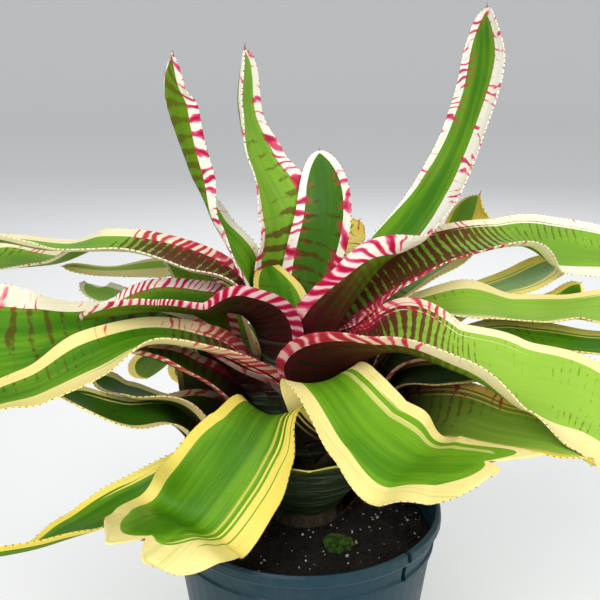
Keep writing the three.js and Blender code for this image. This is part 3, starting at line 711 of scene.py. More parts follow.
         path=[(52, 181, -4, -10), (70, 202, 2, 23), (94, 210, 4, 10), (111, 220, 2, -14)],
         left=(4, 4, 4), right=(4, 4, 4), bars=((1, 0.3, 0.1), (1, 0.3, 0.1)), bands=(0.8, 0.1, 0),
         pale=(0.6, 0.7), lines=(0.5, 0.5), tone_and_painted_light=0.8, flush=60),
    dict(turn=206, width=(35, 30, 24, 30, 30),
         path=[(54, 178, -13, -20), (74, 198, -15, -5), (98, 206, -8, -12), (129, 225, -4, -5)],
         left=(4, 4, 4), right=(4, 4, 4), bars=((1, 0.3, 0.1), (1, 0.3, 0.1)), bands=(0.8, 0.1, 0),
         pale=(0.6, 0.7), lines=(0.5, 0.5), tone_and_painted_light=0.8, flush=60),
    dict(turn=18, width=(33, 33),
         path=[(60, 188, -2, 8), (95, 214), (130, 230, 2, 2), (165, 240, 4, 3), (171, 251, 2, 3)],
         left=(3, 4, 4), right=(3, 5, 4), bars=((1, 0.2, 0), (1, 0.2, 0)), bands=(0.8, 0.1, 0),
         pale=(0.8, 0.9), lines=(0.4, 0.5), tone_and_painted_light=0.3),
    dict(turn=78, width=(24, 25, 29, 32),
         path=[(57, 239, 13), (85, 257, 4), (115, 269, -4), (123, 276, -10)],
         left=(3, 5, 8), right=(3, 9, 15), bars=((1, 0.5, 0.3), (1, 0.6, 0.45)),
         bands=(0.8, 0.3, 0), pale=(0.6, 0.95), tone_and_painted_light=-0.2),
    dict(turn=58, width=(42, 43),
         path=[(60, 198, -8, 20), (88, 207, -7, 5), (120, 200, -2), (146, 179)],
         left=(4, 5, 5), right=(4, 6, 6), lines=(0.5, 0.5)),
    dict(turn=105, width=(41, 43),
         path=[(60, 202, -5), (88, 213, -2), (120, 205), (143, 187)],
         left=(4, 6, 6), right=(4, 5, 5), lines=(0.5, 0.5)),
    dict(turn=135, width=(42, 43),
         path=[(60, 186, 5, -10), (88, 203, 3), (120, 197, 2), (147, 173)],
         left=(4, 5, 6), right=(4, 6, 6), lines=(0.3, 0.6)),
    dict(turn=90, width=(41, 41),
         path=[(64, 185), (92, 196), (122, 184), (146, 155)],
         left=(4, 6, 7), right=(4, 6, 6), lines=(0.6, 0.4)),
    dict(turn=119, width=(39, 39),
         path=[(66, 180), (96, 192), (126, 182), (151, 156)],
         left=(4, 6, 6), right=(4, 5, 6), lines=(0.4, 0.5)),
]
# What a row leaves out.
PLAIN_LEAF = dict(channel=(60, 40), opens=(NEST_TOP, NEST_TOP + TAPER_HEIGHT), tip=0.85, wavy=0.8,
                  bars=((0.8, 0.2, 0.05), (0.8, 0.2, 0.05)), bands=(0.6, 0.05, 0),
                  pale=(0.8, 0.9), lines=(0, 0), tone_and_painted_light=0.15, pitch=5, flush=110)

# Bases of old leaves that were cut off, outside all the sheaths.
OLD_BASES = [
    dict(turn=-88, width=44, path=[(52, 184)]),
    dict(turn=20, width=40, path=[(52, 178)]),
    dict(turn=140, width=42, path=[(53, 180)]),
]
PLAIN_BASE = dict(channel=(60, 60), left=(3, 2), right=(3, 2), tone_and_painted_light=0.9, flush=20, tip=0.8,
                  wavy=0.3)
BASE_ROWS = 40
BASE_SEED = 40


def lerp(a, b, share):
    """A value between a and b."""
    return a + (b - a) * share


def nest_places(rows):
    """Each sheath lies just outside every younger one that it overlaps."""
    placed = []
    for row in rows:
        radius = STEM_TIP
        for other in placed:
            apart = abs((row["turn"] - other["turn"] + 540) % 360 - 180)
            wrap = min(WRAP_MOST, np.degrees(SHEATH_WIDE / 2 / radius))
            if apart < wrap + other["wrap"]:
                radius = max(radius, other["radius"] + NEST_PITCH)
        wrap = min(WRAP_MOST, np.degrees(SHEATH_WIDE / 2 / radius))
        placed.append(dict(turn=row["turn"], radius=radius, wrap=wrap))
    widest = max(place["radius"] for place in placed)
    for place in placed:
        age = (place["radius"] - STEM_TIP) / (widest - STEM_TIP)
        place["foot_radius"] = lerp(STEM_TIP, STEM_FOOT, age)
        place["foot_height"] = lerp(NEST_TOP, NEST_LOW, age)
    return placed


def curve_through(knots, pieces=40):
    """A smooth curve through the knots, with the knot number and the arc length of each point."""
    ends = np.vstack([2 * knots[0] - knots[1], knots, 2 * knots[-1] - knots[-2]])
    points, numbers = [], []
    for k in range(len(knots) - 1):
        p0, p1, p2, p3 = ends[k:k + 4]
        gaps = [np.linalg.norm(b - a) ** 0.5 for a, b in ((p0, p1), (p1, p2), (p2, p3))]
        t1 = gaps[0]
        t2 = t1 + gaps[1]
        t3 = t2 + gaps[2]
        last = k == len(knots) - 2
        t = np.linspace(t1, t2, pieces + last, endpoint=last)[:, None]
        a1 = lerp(p0, p1, t / t1)
        a2 = lerp(p1, p2, (t - t1) / (t2 - t1))
        a3 = lerp(p2, p3, (t - t2) / (t3 - t2))
        b1 = lerp(a1, a2, t / t2)
        b2 = lerp(a2, a3, (t - t1) / (t3 - t1))
        points.append(lerp(b1, b2, (t - t1) / (t2 - t1)))
        numbers.append(k + (t[:, 0] - t1) / (t2 - t1))
    points = np.vstack(points)
    steps = np.linalg.norm(np.diff(points, axis=0), axis=1)
    return points, np.concatenate(numbers), np.concatenate([[0], np.cumsum(steps)])


def spread(values, share):
    """Values spaced evenly from base to tip, passed through smoothly."""
    place = np.clip(share, 0, 1) * (len(values) - 1)
    first = np.minimum(place.astype(int), len(values) - 2)
    values = np.array(values, float)
    return lerp(values[first], values[first + 1], smooth(0, 1, place - first))


def unit(vectors):
    """The same directions, one long."""
    return vectors / np.linalg.norm(vectors, axis=-1, keepdims=True)


def midrib_rows(leaf, nest, rows):
    """For each row of a leaf: where its middle is, which way it faces, how wide and bent it is."""
    turn = radians(leaf["turn"])
    out = np.array([cos(turn), sin(turn), 0])
    left = np.array([-sin(turn), cos(turn), 0])
    up = np.array([0, 0, 1.0])
    knots = [list(place) + [0] * (4 - len(place)) for place in leaf["path"]]
    rise = CONE_RISE * (knots[0][1] - NEST_TOP)
    knots = [[nest["radius"], NEST_TOP, 0, 0],
             [nest["radius"] * (1 + NEST_FLARE * rise), NEST_TOP + rise, 0, 0]] + knots
    places = [out * reach + up * height + left * side for reach, height, side, _ in knots]
    dense, numbers, arc = curve_through(np.array(places))
    share = 1 - (1 - np.linspace(0, 1, rows + 1)) ** TIP_CROWDING
    length = arc[-1]
    along = share * length
    centre = np.stack([np.interp(along, arc, dense[:, k]) for k in range(3)], 1)
    tangent = np.gradient(dense, arc, axis=0)
    way = unit(np.stack([np.interp(along, arc, tangent[:, k]) for k in range(3)], 1))
    number = np.interp(along, arc, numbers)
    knot = np.minimum(np.floor(number).astype(int), len(knots) - 2)
    rolls = np.radians([place[3] for place in knots])
    roll = lerp(rolls[knot], rolls[knot + 1], smooth(0, 1, number - knot))[:, None]
    opened = np.maximum.accumulate(smooth(*leaf["opens"], centre[:, 2]))
    flat_across = unit(left - way * (way @ left)[:, None])
    flat_in = np.cross(way, flat_across)
    across = flat_across * np.cos(roll) + flat_in * np.sin(roll)
    face = flat_in * np.cos(roll) - flat_across * np.sin(roll)
    face = unit(lerp(face, -out, 1 - smooth(0, 0.5, opened)[:, None]))
    wrap = radians(nest["wrap"])
    widths = np.ravel(leaf["width"])
    if len(widths) == 1:
        widths = widths * NECKED
    wide = lerp(2 * wrap * nest["radius"], spread(widths, share), opened)
    pinch = np.maximum(0, 1 - (length - along) / (leaf["tip"] * widths[-1]))
    least = TORN_TIP * widths[-1] if "lobes" in leaf else FINE_TIP
    wide = np.maximum(wide * np.sqrt(np.maximum(0, 1 - pinch ** TIP_FULLNESS)), least)
    middle, end = np.radians(leaf["channel"])
    free = lerp(middle, end, smooth(0.4, 1, share))
    held = np.minimum(wide / np.maximum(centre @ out, 1), 2 * wrap)
    bend = lerp(np.maximum(free, held), free, smooth(0.35, 0.6, share))
    bend[0] = wide[0] / nest["radius"]
    bend = np.where(np.abs(bend) < LEAST_BEND, LEAST_BEND, bend)
    left_lobe, right_lobe = (lobe * smooth(0, 1, pinch) for lobe in leaf.get("lobes", (0, 0)))
    return dict(centre=centre, across=across, face=face, way=way, wide=wide, bend=bend,
                left_lobe=left_lobe, right_lobe=right_lobe, along=along, share=share,
                opened=opened, out=out, left=left)


def with_sheath(rows, nest):
    """Puts the cone of the sheath, from the stem up to the first row, before the rows."""
    steps = SHEATH_ROWS
    low = np.linspace(0, 1, steps, endpoint=False)
    foot = rows["out"] * nest["foot_radius"] + np.array([0, 0, nest["foot_height"]])
    centre = lerp(foot, rows["centre"][0], low[:, None])
    radius = lerp(nest["foot_radius"], nest["radius"], low)
    slant = np.linalg.norm(rows["centre"][0] - foot)
    before = dict(
        centre=centre, across=np.tile(rows["left"], (steps, 1)),
        face=np.tile(-rows["out"], (steps, 1)),
        way=np.tile(unit(rows["centre"][0] - foot + 1e-9), (steps, 1)),
        wide=2 * radians(nest["wrap"]) * radius, bend=np.full(steps, 2 * radians(nest["wrap"])),
        along=-slant * (1 - low), left_lobe=np.zeros(steps), right_lobe=np.zeros(steps),
        share=np.zeros(steps), opened=np.zeros(steps))
    return {key: np.concatenate([before[key], rows[key]]) for key in before}


def looks_along(leaf, share):
    """The leaf's looks at each row, from what its row says of base, middle and tip."""
    same = np.ones(len(share))
    return dict(
        left_margin=spread(leaf["left"], share) * MM,
        right_margin=spread(leaf["right"], share) * MM,
        left_bars=spread(leaf["bars"][0], share), right_bars=spread(leaf["bars"][1], share),
        bands=spread(leaf["bands"], share), yellow=spread(leaf["pale"], share),
        left_lines=same * leaf["lines"][0], right_lines=same * leaf["lines"][1],
        tone_and_painted_light=same * leaf["tone_and_painted_light"], pitch=same * leaf["pitch"] * MM,
        flush=same * leaf["flush"] * MM)


def midrib_object(name, leaf, nest, rows, seed):
    """The midrib as a line whose points carry all that the leaf's tree needs."""
    line = with_sheath(midrib_rows(leaf, nest, rows), nest)
    count = len(line["along"])
    mesh = bpy.data.meshes.new(name)
    mesh.from_pydata(line["centre"] * MM, [(k, k + 1) for k in range(count - 1)], [])
    numbers = dict(wide=line["wide"] * MM, bend=line["bend"], along=line["along"] * MM,
                   left_lobe=line["left_lobe"] * MM, right_lobe=line["right_lobe"] * MM,
                   opened=line["opened"], share=line["share"], leaf_seed=np.full(count, seed * 3.7),
                   to_tip=(line["along"][-1] - line["along"]) * MM)
    numbers.update(looks_along(leaf, line["share"]))
    vectors = dict(centre=line["centre"] * MM, across=line["across"], face=line["face"],
                   way=line["way"])
    for label, values in numbers.items():
        mesh.attributes.new(label, "FLOAT", "POINT").data.foreach_set("value", values)
    for label, values in vectors.items():
        mesh.attributes.new(label, "FLOAT_VECTOR", "POINT").data.foreach_set(
            "vector", np.ravel(values))
    midrib = bpy.data.objects.new(name, mesh)
    bpy.context.collection.objects.link(midrib)
    return midrib


def read(tree, name, kind="FLOAT"):
    """What a named attribute says."""
    return put(tree, "GeometryNodeInputNamedAttribute", {0: name}, data_type=kind).outputs[0]


def store(tree, geometry, name, value, domain="POINT", kind="FLOAT"):
    """Keeps a value with the geometry, under a name."""
    values = {"Geometry": geometry, "Name": name, "Value": value}
    return put(tree, "GeometryNodeStoreNamedAttribute", values, data_type=kind,
               domain=domain).outputs[0]


def either(tree, share, first, second):
    """The first number where share is 1, and the second where it is 0."""
    return calc(tree, "ADD", times(tree, share, first),
                times(tree, calc(tree, "SUBTRACT", 1.0, share), second))


def sheet_tree():
    """Sweeps an arc along a midrib, whose points say how wide, bent and turned each arc is."""
    tree, given = new_tree("sheet_on_midrib", [
        ("Columns", "Int", BLADE_COLUMNS), ("Ripple", "Float", 0.001),
        ("Ripple Length", "Float", 0.05), ("Leaf Material", "Material", None)])
    rail = put(tree, "GeometryNodeMeshToCurve", {0: given["Geometry"]}).outputs[0]
    straight = put(tree, "GeometryNodeCurvePrimitiveLine", {"Start": (-1, 0, 0), "End": (1, 0, 0)})
    section = put(tree, "GeometryNodeResampleCurve", {"Curve": straight.outputs[0],
                                                      "Count": given["Columns"]}).outputs[0]
    here = put(tree, "GeometryNodeInputPosition").outputs[0]
    section = store(tree, section, "side", put(tree, "ShaderNodeSeparateXYZ", {0: here}).outputs[0])
    strip = put(tree, "GeometryNodeCurveToMesh", {"Curve": rail, "Profile Curve": section})
    strip = put(tree, "GeometryNodeFlipFaces", {0: strip.outputs[0]})

    side, bend = read(tree, "side"), read(tree, "bend")
    off_middle = calc(tree, "ABSOLUTE", side)
    across, face, way, centre = (read(tree, name, "FLOAT_VECTOR")
                                 for name in ("across", "face", "way", "centre"))
    angle = times(tree, side, bend, 0.5)
    turned, level = calc(tree, "SINE", angle), calc(tree, "COSINE", angle)
    radius = calc(tree, "DIVIDE", read(tree, "wide"), bend)
    normal = vector(tree, "SUBTRACT", scaled(tree, face, level), scaled(tree, across, turned))
    outward = vector(tree, "ADD", scaled(tree, across, level), scaled(tree, face, turned))
    at = vector(tree, "ADD", centre, scaled(tree, across, times(tree, radius, turned)))
    rise = times(tree, radius, calc(tree, "SUBTRACT", 1.0, level))
    at = vector(tree, "ADD", at, scaled(tree, face, rise))

    # each half of a torn tip stands out most a little past the middle of that half
    lobes = calc(tree, "POWER", calc(tree, "SINE", times(tree, off_middle, 2.6)), 1.3)
    lobe = either(tree, calc(tree, "GREATER_THAN", side, 0.0), read(tree, "left_lobe"),
                  read(tree, "right_lobe"))
    at = vector(tree, "ADD", at, scaled(tree, way, times(tree, lobes, lobe)))

    # the ripple grows towards the margins, and there is none on the sheath
    edge = calc(tree, "POWER", off_middle, 2.5)
    wave_place = combined(tree, calc(tree, "DIVIDE", read(tree, "along"), given["Ripple Length"]),
                          times(tree, side, 0.7), read(tree, "leaf_seed"))
    wave = calc(tree, "SUBTRACT", noise(tree, wave_place, 1.0, 1.0), 0.5)
    lift = times(tree, wave, edge, read(tree, "opened"), given["Ripple"], 4.0)
    sheet = put(tree, "GeometryNodeSetPosition", {
        "Geometry": strip.outputs[0],
        "Position": vector(tree, "ADD", at, scaled(tree, normal, lift))}).outputs[0]
    sheet = store(tree, sheet, "outward", scaled(tree, outward, calc(tree, "SIGN", side)),
                  kind="FLOAT_VECTOR")
    close_tree(tree, sheet, given["Leaf Material"])
    return tree


def blade_tree():
    """Gives a leaf's sheet its thickness, the hooked spines of its margins and its tip spine."""
    tree, given = new_tree("blade_from_sheet", [
        ("Thickness", "Float", 0.001), ("Edge Thickness", "Float", 0.0006),
        ("Spine Pitch", "Float", 0.003), ("Spine Length", "Float", 0.001),
        ("Tip Spine", "Float", 0.0035), ("Seed", "Int", 0), ("Leaf Material", "Material", None)])
    sheet = given["Geometry"]
    side, wide = read(tree, "side"), read(tree, "wide")
    off_middle = calc(tree, "ABSOLUTE", side)
    edge = calc(tree, "POWER", off_middle, 3.0)
    thick = calc(tree, "MULTIPLY_ADD", edge, calc(tree, "SUBTRACT", given["Edge Thickness"],
                                                  given["Thickness"]), given["Thickness"])
    sheet = store(tree, sheet, "upward", put(tree, "GeometryNodeInputNormal").outputs[0],
                  kind="FLOAT_VECTOR")
    upward = read(tree, "upward", "FLOAT_VECTOR")
    under = put(tree, "GeometryNodeSetPosition", {
        "Geometry": sheet,
        "Offset": scaled(tree, upward, times(tree, thick, -0.5))}).outputs[0]
    over = put(tree, "GeometryNodeExtrudeMesh", {
        "Mesh": under, "Offset": scaled(tree, upward, thick), "Offset Scale": 1.0,
        "Individual": False}, mode="FACES").outputs[0]
    below = put(tree, "GeometryNodeFlipFaces", {0: under}).outputs[0]
    below = store(tree, below, "under", 1.0, domain="FACE")
    closed = put(tree, "GeometryNodeMergeByDistance", {
        "Geometry": joined(tree, over, below), "Distance": 1e-6}).outputs[0]
    smooth_blade = put(tree, "GeometryNodeSetShadeSmooth", {"Geometry": closed}).outputs[0]

    def hooks(points, length, girth, lean):
        """Spines that point out from the margin (0) or along it towards the tip (1)."""
        spine = store(tree, spike(tree, 5, 1, girth), "spine", 1.0)
        heading = vector(tree, "ADD",
                         scaled(tree, read(tree, "outward", "FLOAT_VECTOR"), 1 - lean),
                         scaled(tree, read(tree, "way", "FLOAT_VECTOR"), lean))
        size = times(tree, random_between(tree, 0.6, 1.2, given["Seed"]), length)
        return copies(tree, points, spine, facing(tree, heading), size)

    on_blade = calc(tree, "GREATER_THAN", read(tree, "opened"), 0.3)
    at_margin = times(tree, on_blade, calc(tree, "GREATER_THAN", off_middle, 0.999))
    margins = put(tree, "GeometryNodeMeshToCurve", {"Mesh": sheet, "Selection": at_margin})
    spaced = put(tree, "GeometryNodeResampleCurve", {
        "Curve": margins.outputs[0], "Length": given["Spine Pitch"]}, mode="LENGTH").outputs[0]
    small = hooks(spaced, given["Spine Length"], girth=0.32, lean=0.6)
    at_tip = times(tree, calc(tree, "LESS_THAN", read(tree, "to_tip"), 1e-6),
                   calc(tree, "LESS_THAN", off_middle, 0.01), on_blade)
    end = put(tree, "GeometryNodeMeshToPoints", {"Mesh": sheet, "Selection": at_tip}).outputs[0]
    point = hooks(end, given["Tip Spine"], girth=0.13, lean=1.0)
    real = put(tree, "GeometryNodeRealizeInstances", {
        0: joined(tree, smooth_blade, small, point)}).outputs[0]
    strap = combined(tree, times(tree, side, wide, 0.5), read(tree, "along"))
    real = store(tree, real, "strap", strap, domain="CORNER", kind="FLOAT2")
    close_tree(tree, real, given["Leaf Material"])
    return tree


LEAF_GREEN = (0.047, 0.185, 0.003, 1)
LEAF_LIME = (0.15, 0.34, 0.01, 1)
# partly painted light: the paler green given to leaves that lie in shade
LEAF_PALE_AND_LIT = (0.34, 0.56, 0.06, 1)
LEAF_DEEP = (0.022, 0.09, 0.005, 1)
MARGIN_WHITE = (0.92, 0.88, 0.76, 1)
MARGIN_YELLOW = (0.84, 0.67, 0.09, 1)
UNDER_GREEN = (0.12, 0.2, 0.008, 1)
BAR_PINK = (0.85, 0.12, 0.25, 1)
BAR_CRIMSON = (0.42, 0.005, 0.05, 1)
BAR_RUST = (0.6, 0.12, 0.03, 1)
BAND_MAROON = (0.095, 0.004, 0.012, 1)
# the heart's maroon, darkened to near black as painted shade
HEART_MAROON_AND_SHADE = (0.012, 0.003, 0.004, 1)
# painted shade on the outside of the closed sheath
SHEATH_SHADE = (0.014, 0.026, 0.01, 1)
SCURF_GREY = (0.17, 0.2, 0.14, 1)
SPINE_RED = (0.3, 0.03, 0.03, 1)
BAR_SLANT = 0.35       # metres that a bar climbs for each metre towards the margin
BAND_SLANT = 0.12      # and a dark band


def leaf_skin():
    """Colours laid out on the strap: metres across and along it, and what its rows say."""
    material, tree, shader = finish_named(
        "leaf_skin", Subsurface_Weight=0.12, Subsurface_Scale=0.002,
        Subsurface_Radius=(1.0, 1.0, 0.4))
    strap = put(tree, "ShaderNodeUVMap", uv_map="strap").outputs[0]
    parts = put(tree, "ShaderNodeSeparateXYZ", {0: strap}).outputs
    x, y = parts[0], parts[1]

    def said(name):
        """What the leaf's mesh says of this place."""
        return put(tree, "ShaderNodeAttribute", attribute_name=name).outputs["Fac"]

    seed = said("leaf_seed")
    off_middle = calc(tree, "ABSOLUTE", x)

    def slanted(amount):
        """Metres along the strap, less and less towards its middle."""
        return calc(tree, "MULTIPLY_ADD", off_middle, amount, y)

    def pattern(across, along, detail=2.0, roughness=0.5, shift=0.0, slant=0.0):
        """Noise with so many features to a metre across and along the strap."""
        place = combined(tree, times(tree, x, across), times(tree, slanted(slant), along),
                         calc(tree, "ADD", seed, shift))
        return noise(tree, place, 1.0, detail, roughness)

    leftward = step(tree, x, -0.0008, 0.0008)

    def sided(name):
        """What the mesh says of the left half in the left half, and of the right in the right."""
        return either(tree, leftward, said("left_" + name), said("right_" + name))

    # where the pale margin ends, and the thin pale lines beside it
    edge = calc(tree, "SUBTRACT", times(tree, said("wide"), 0.5), off_middle)
    wander = calc(tree, "SUBTRACT", pattern(90, 30, 2), 0.5)
    inside = calc(tree, "SUBTRACT", sided("margin"), edge)
    beside = combined(tree, times(tree, inside, 420), times(tree, y, 2.5),
                      calc(tree, "MULTIPLY_ADD", leftward, 5.0, seed))
    stripes = calc(tree, "SUBTRACT", noise(tree, beside, 1.0, 1.0), 0.5)
    inside = calc(tree, "MULTIPLY_ADD", wander, 0.002, inside)
    reach = calc(tree, "MULTIPLY_ADD", sided("lines"), 0.036, 0.0012)
    reach = times(tree, reach, step(tree, said("to_tip"), 0.0, 0.03, 0.1))
    core = step(tree, inside, -0.0025, -0.0005, 0.55, 1.0)
    inside = calc(tree, "MULTIPLY_ADD", stripes, reach, inside)
    pale = times(tree, step(tree, inside, -0.00025, 0.00025), core)

    grain = pattern(2200, 25, 2, shift=9)
    streaks = pattern(260, 5, 2, shift=11)
    cloud = pattern(40, 16, 2, shift=13)
    light = calc(tree, "MULTIPLY_ADD", grain, 0.25, calc(tree, "MULTIPLY_ADD", streaks, 0.6, cloud))
    near_margin = step(tree, inside, -0.007, -0.001, 0.0, 0.18)
    green = tint(tree, step(tree, calc(tree, "ADD", light, near_margin), 0.72, 1.2),
                 LEAF_GREEN, LEAF_LIME)
    # painted light: below 0 the green is paled, partly its own tone and partly light on leaves that
    # lie in the shade of others
    green = tint(tree, said("tone_and_painted_light"), green, LEAF_DEEP)
    green = tint(tree, times(tree, said("tone_and_painted_light"), -1.0), green, LEAF_PALE_AND_LIT)
    cream = tint(tree, said("yellow"), MARGIN_WHITE, MARGIN_YELLOW)
    greenish = step(tree, calc(tree, "MULTIPLY_ADD", streaks, 0.5, grain), 0.8, 1.1, 0, 0.4)
    cream = tint(tree, greenish, cream, LEAF_LIME)

    # the underside is duller, and near its base the whole leaf is flushed with red that sinks to
    # near black: painted shade of the heart, heavier on the underside
    under = said("under")
    up_blade = calc(tree, "DIVIDE", y, said("flush"))
    flush = step(tree, calc(tree, "MULTIPLY_ADD", streaks, 0.3, up_blade), 0.7, 1.25, 1.0, 0.0)
    bars = sided("bars")
    cream = tint(tree, times(tree, flush, bars, 0.5), cream, BAR_PINK)
    green = tint(tree, times(tree, under, 0.6), green, UNDER_GREEN)
    green = tint(tree, times(tree, flush, step(tree, under, 0, 1, 0.45, 0.95)), green, HEART_MAROON_AND_SHADE)

    # red bars across the margins, slanting up from the edge, and dark bands across the green
    swerve = pattern(45, 40, 2, shift=17)
    count = calc(tree, "MULTIPLY_ADD", swerve, 4.5,
                 calc(tree, "DIVIDE", slanted(BAR_SLANT), said("pitch")))
    wave = calc(tree, "MULTIPLY_ADD", calc(tree, "SINE", times(tree, count, 2 * pi)), 0.11, 0.11)
    rough = pattern(60, 200, 3, 0.6, shift=19, slant=BAR_SLANT)
    cluster = pattern(30, 75, 1, shift=37, slant=BAR_SLANT)
    field = calc(tree, "MULTIPLY_ADD", rough, 0.43, calc(tree, "MULTIPLY_ADD", cluster, 0.35, wave))
    over = calc(tree, "SUBTRACT", field, step(tree, bars, 0.0, 1.0, 0.74, 0.42))
    barred = times(tree, step(tree, over, -0.03, 0.04), step(tree, bars, 0.0, 0.06))
    crimson = tint(tree, step(tree, over, 0.0, 0.14), BAR_PINK, BAR_CRIMSON)
    crimson = tint(tree, times(tree, said("yellow"), 0.8), crimson, BAR_RUST)
    margin = tint(tree, barred, cream, crimson)
    bands = said("bands")
    rungs = calc(tree, "MULTIPLY_ADD", pattern(12, 30, 1, shift=29), 1.5,
                 calc(tree, "DIVIDE", slanted(BAND_SLANT), said("pitch")))
    ladder = calc(tree, "SINE", times(tree, rungs, 2 * pi))
    patches = calc(tree, "MULTIPLY_ADD", pattern(45, 28, 2, 0.5, shift=31), 0.6,
                   times(tree, pattern(260, 420, 2, 0.6, shift=23), 0.4))
    specks = calc(tree, "MULTIPLY_ADD", ladder, 0.15, patches)
    dense = calc(tree, "SUBTRACT", specks, step(tree, bands, 0.0, 1.0, 0.72, 0.345))
    banded = times(tree, step(tree, dense, -0.04, 0.08), step(tree, bands, 0.0, 0.06))
    showing = times(tree, step(tree, bands, 0, 1, 0.5, 0.92), step(tree, under, 0, 1, 1, 0.6))
    green = tint(tree, times(tree, banded, showing), green, BAND_MAROON)
    beyond = times(tree, barred, step(tree, inside, -0.004, 0.0, 0.0, 0.8),
                   step(tree, under, 0, 1, 1, 0.1))
    green = tint(tree, beyond, green, BAR_CRIMSON)
    colour = tint(tree, pale, green, margin)
    # painted shade: low on the blade the colour goes to near-black maroon, the heart's red darkened
    # as its shade
    heart_maroon_and_shade = step(tree, up_blade, 0.25, 0.7, 0.92, 0.0)
    colour = tint(tree, heart_maroon_and_shade, colour, HEART_MAROON_AND_SHADE)

    # the outside of the closed sheath is painted dark as the shade between the nested sheaths, with
    # grey scurf across it
    opened = said("opened")
    dark = step(tree, opened, 0.0, 0.5, 0.85, 0.0)
    colour = tint(tree, times(tree, under, dark), colour, SHEATH_SHADE)
    scurf = step(tree, pattern(25, 420, 3, 0.7, shift=27), 0.48, 0.7)
    scurf = times(tree, scurf, step(tree, opened, 0.0, 1.0, 0.45, 0.0))
    colour = tint(tree, times(tree, under, scurf), colour, SCURF_GREY)
    colour = tint(tree, said("spine"), colour, SPINE_RED)
    veins = calc(tree, "MULTIPLY_ADD", grain, 0.3, pattern(1400, 3, 1, shift=25))
    dull = calc(tree, "MAXIMUM", flush, times(tree, banded, 0.9))
    gloss = step(tree, dull, 0.0, 1.0, 0.16, 0.05)
    paint(tree, shader, Base_Color=colour,
          Roughness=calc(tree, "MULTIPLY_ADD", dull, 0.25, step(tree, cloud, 0.3, 0.7, 0.4, 0.56)),
          Specular_IOR_Level=times(tree, gloss, step(tree, under, 0.0, 1.0, 1.0, 0.2)),
          Normal=bump(tree, veins, 0.35, 0.0006))
    return material


CLEARANCE = 1.3 * MM      # from the middle of one leaf to the middle of the next
PRESS_PASSES = 6
PRESS_REACH = 16 * MM     # a leaf further off than this doesn't press on another
PRESS_ROWS = 4            # rows and columns of a sheet between two places that are measured
PRESS_COLUMNS = 2
PRESS_FACING = 0.8        # share of a gap that is square to the other leaf, not past its edge
PRESS_FURTHER = 1.4       # times the push that is needed, because evening it out weakens it
REST_CLEARANCE = 3 * MM   # over the blade that younger leaves rest on
REST_PASSES = 14
SHARP_ANGLE = 55          # degrees between faces past which an edge is sharp


def grid_of(sheet):
    """The numbers of a sheet's points, by row and column."""
    count = len(sheet.data.vertices)
    side, along = np.zeros(count), np.zeros(count)
    sheet.data.attributes["side"].data.foreach_get("value", side)
    sheet.data.attributes["along"].data.foreach_get("value", along)
    return np.lexsort((side, along)).reshape(-1, BLADE_COLUMNS)


def blurred(values, times):
    """Values on a grid, evened out with their neighbours along it and across it."""
    for _ in range(times):
        for axis in (0, 1):
            ends = [(1, 1) if k == axis else (0, 0) for k in range(values.ndim)]
            wide = np.moveaxis(np.pad(values, ends, mode="edge"), axis, 0)
            values = np.moveaxis((wide[:-2] + 2 * wide[1:-1] + wide[2:]) / 4, 0, axis)
    return values


def surface_of(grid):
    """The surface through a grid of points, for measuring to."""
    rows, columns = grid.shape[:2]
    first = (np.arange(rows - 1)[:, None] * columns + np.arange(columns - 1)).ravel()
    quads = np.stack([first, first + columns, first + columns + 1, first + 1], 1)
    return BVHTree.FromPolygons(grid.reshape(-1, 3).tolist(), quads.tolist())


def push_from(grid, surface, way, clearance):
    """How far each point must move to lie under (-1) or over (1) another leaf's surface."""
    push = np.zeros(grid.shape)
    for row in range(grid.shape[0]):
        for column in range(grid.shape[1]):
            point = Vector(grid[row, column])
            place, normal, _, away = surface.find_nearest(point, PRESS_REACH)
            if place is None:
                continue
            height = (point - place).dot(normal)
            faces_it = abs(height) > PRESS_FACING * away or away < MM
            if faces_it and height * way < clearance:
                push[row, column] = (clearance * way - height) * normal
    return push


def press(sheet, others, way=-1, clearance=CLEARANCE, passes=PRESS_PASSES):
    """Moves a leaf under (-1) or over (1) the others that it would pass through."""
    order = grid_of(sheet)
    points = np.zeros(3 * len(sheet.data.vertices))
    sheet.data.vertices.foreach_get("co", points)
    points = points.reshape(-1, 3)
    rows = np.arange(0, len(order), PRESS_ROWS)
    columns = np.arange(0, BLADE_COLUMNS, PRESS_COLUMNS)
    start = points[order][np.ix_(rows, columns)]
    grid = start.copy()
    for _ in range(passes):
        worst = np.zeros(grid.shape)
        for low, high, surface in others:
            if np.any(grid.max((0, 1)) < low) or np.any(grid.min((0, 1)) > high):
                continue
            push = push_from(grid, surface, way, clearance)
            more = np.linalg.norm(push, axis=2) > np.linalg.norm(worst, axis=2)
            worst[more] = push[more]
        if not worst.any():
            break
        grid = grid + blurred(worst * PRESS_FURTHER, 2)
    moved = blurred(grid - start, 1)
    every_row, every_column = np.arange(len(order)), np.arange(BLADE_COLUMNS)
    tall = np.stack([[np.interp(every_row, rows, moved[:, c, k]) for c in range(len(columns))]
                     for k in range(3)])
    full = np.stack([[np.interp(every_column, columns, tall[k, :, r]) for r in every_row]
                     for k in range(3)], 2)
    points[order] += blurred(full, 3)
    sheet.data.vertices.foreach_set("co", np.ravel(points))
    sheet.data.update()


def outline(sheet):
    """The box round a sheet and its surface, for the sheets that lie against it."""
    grid = np.array([vertex.co for vertex in sheet.data.vertices])[grid_of(sheet)]
    grid = grid[::PRESS_ROWS, ::PRESS_COLUMNS]
    return grid.min((0, 1)), grid.max((0, 1)), surface_of(grid)


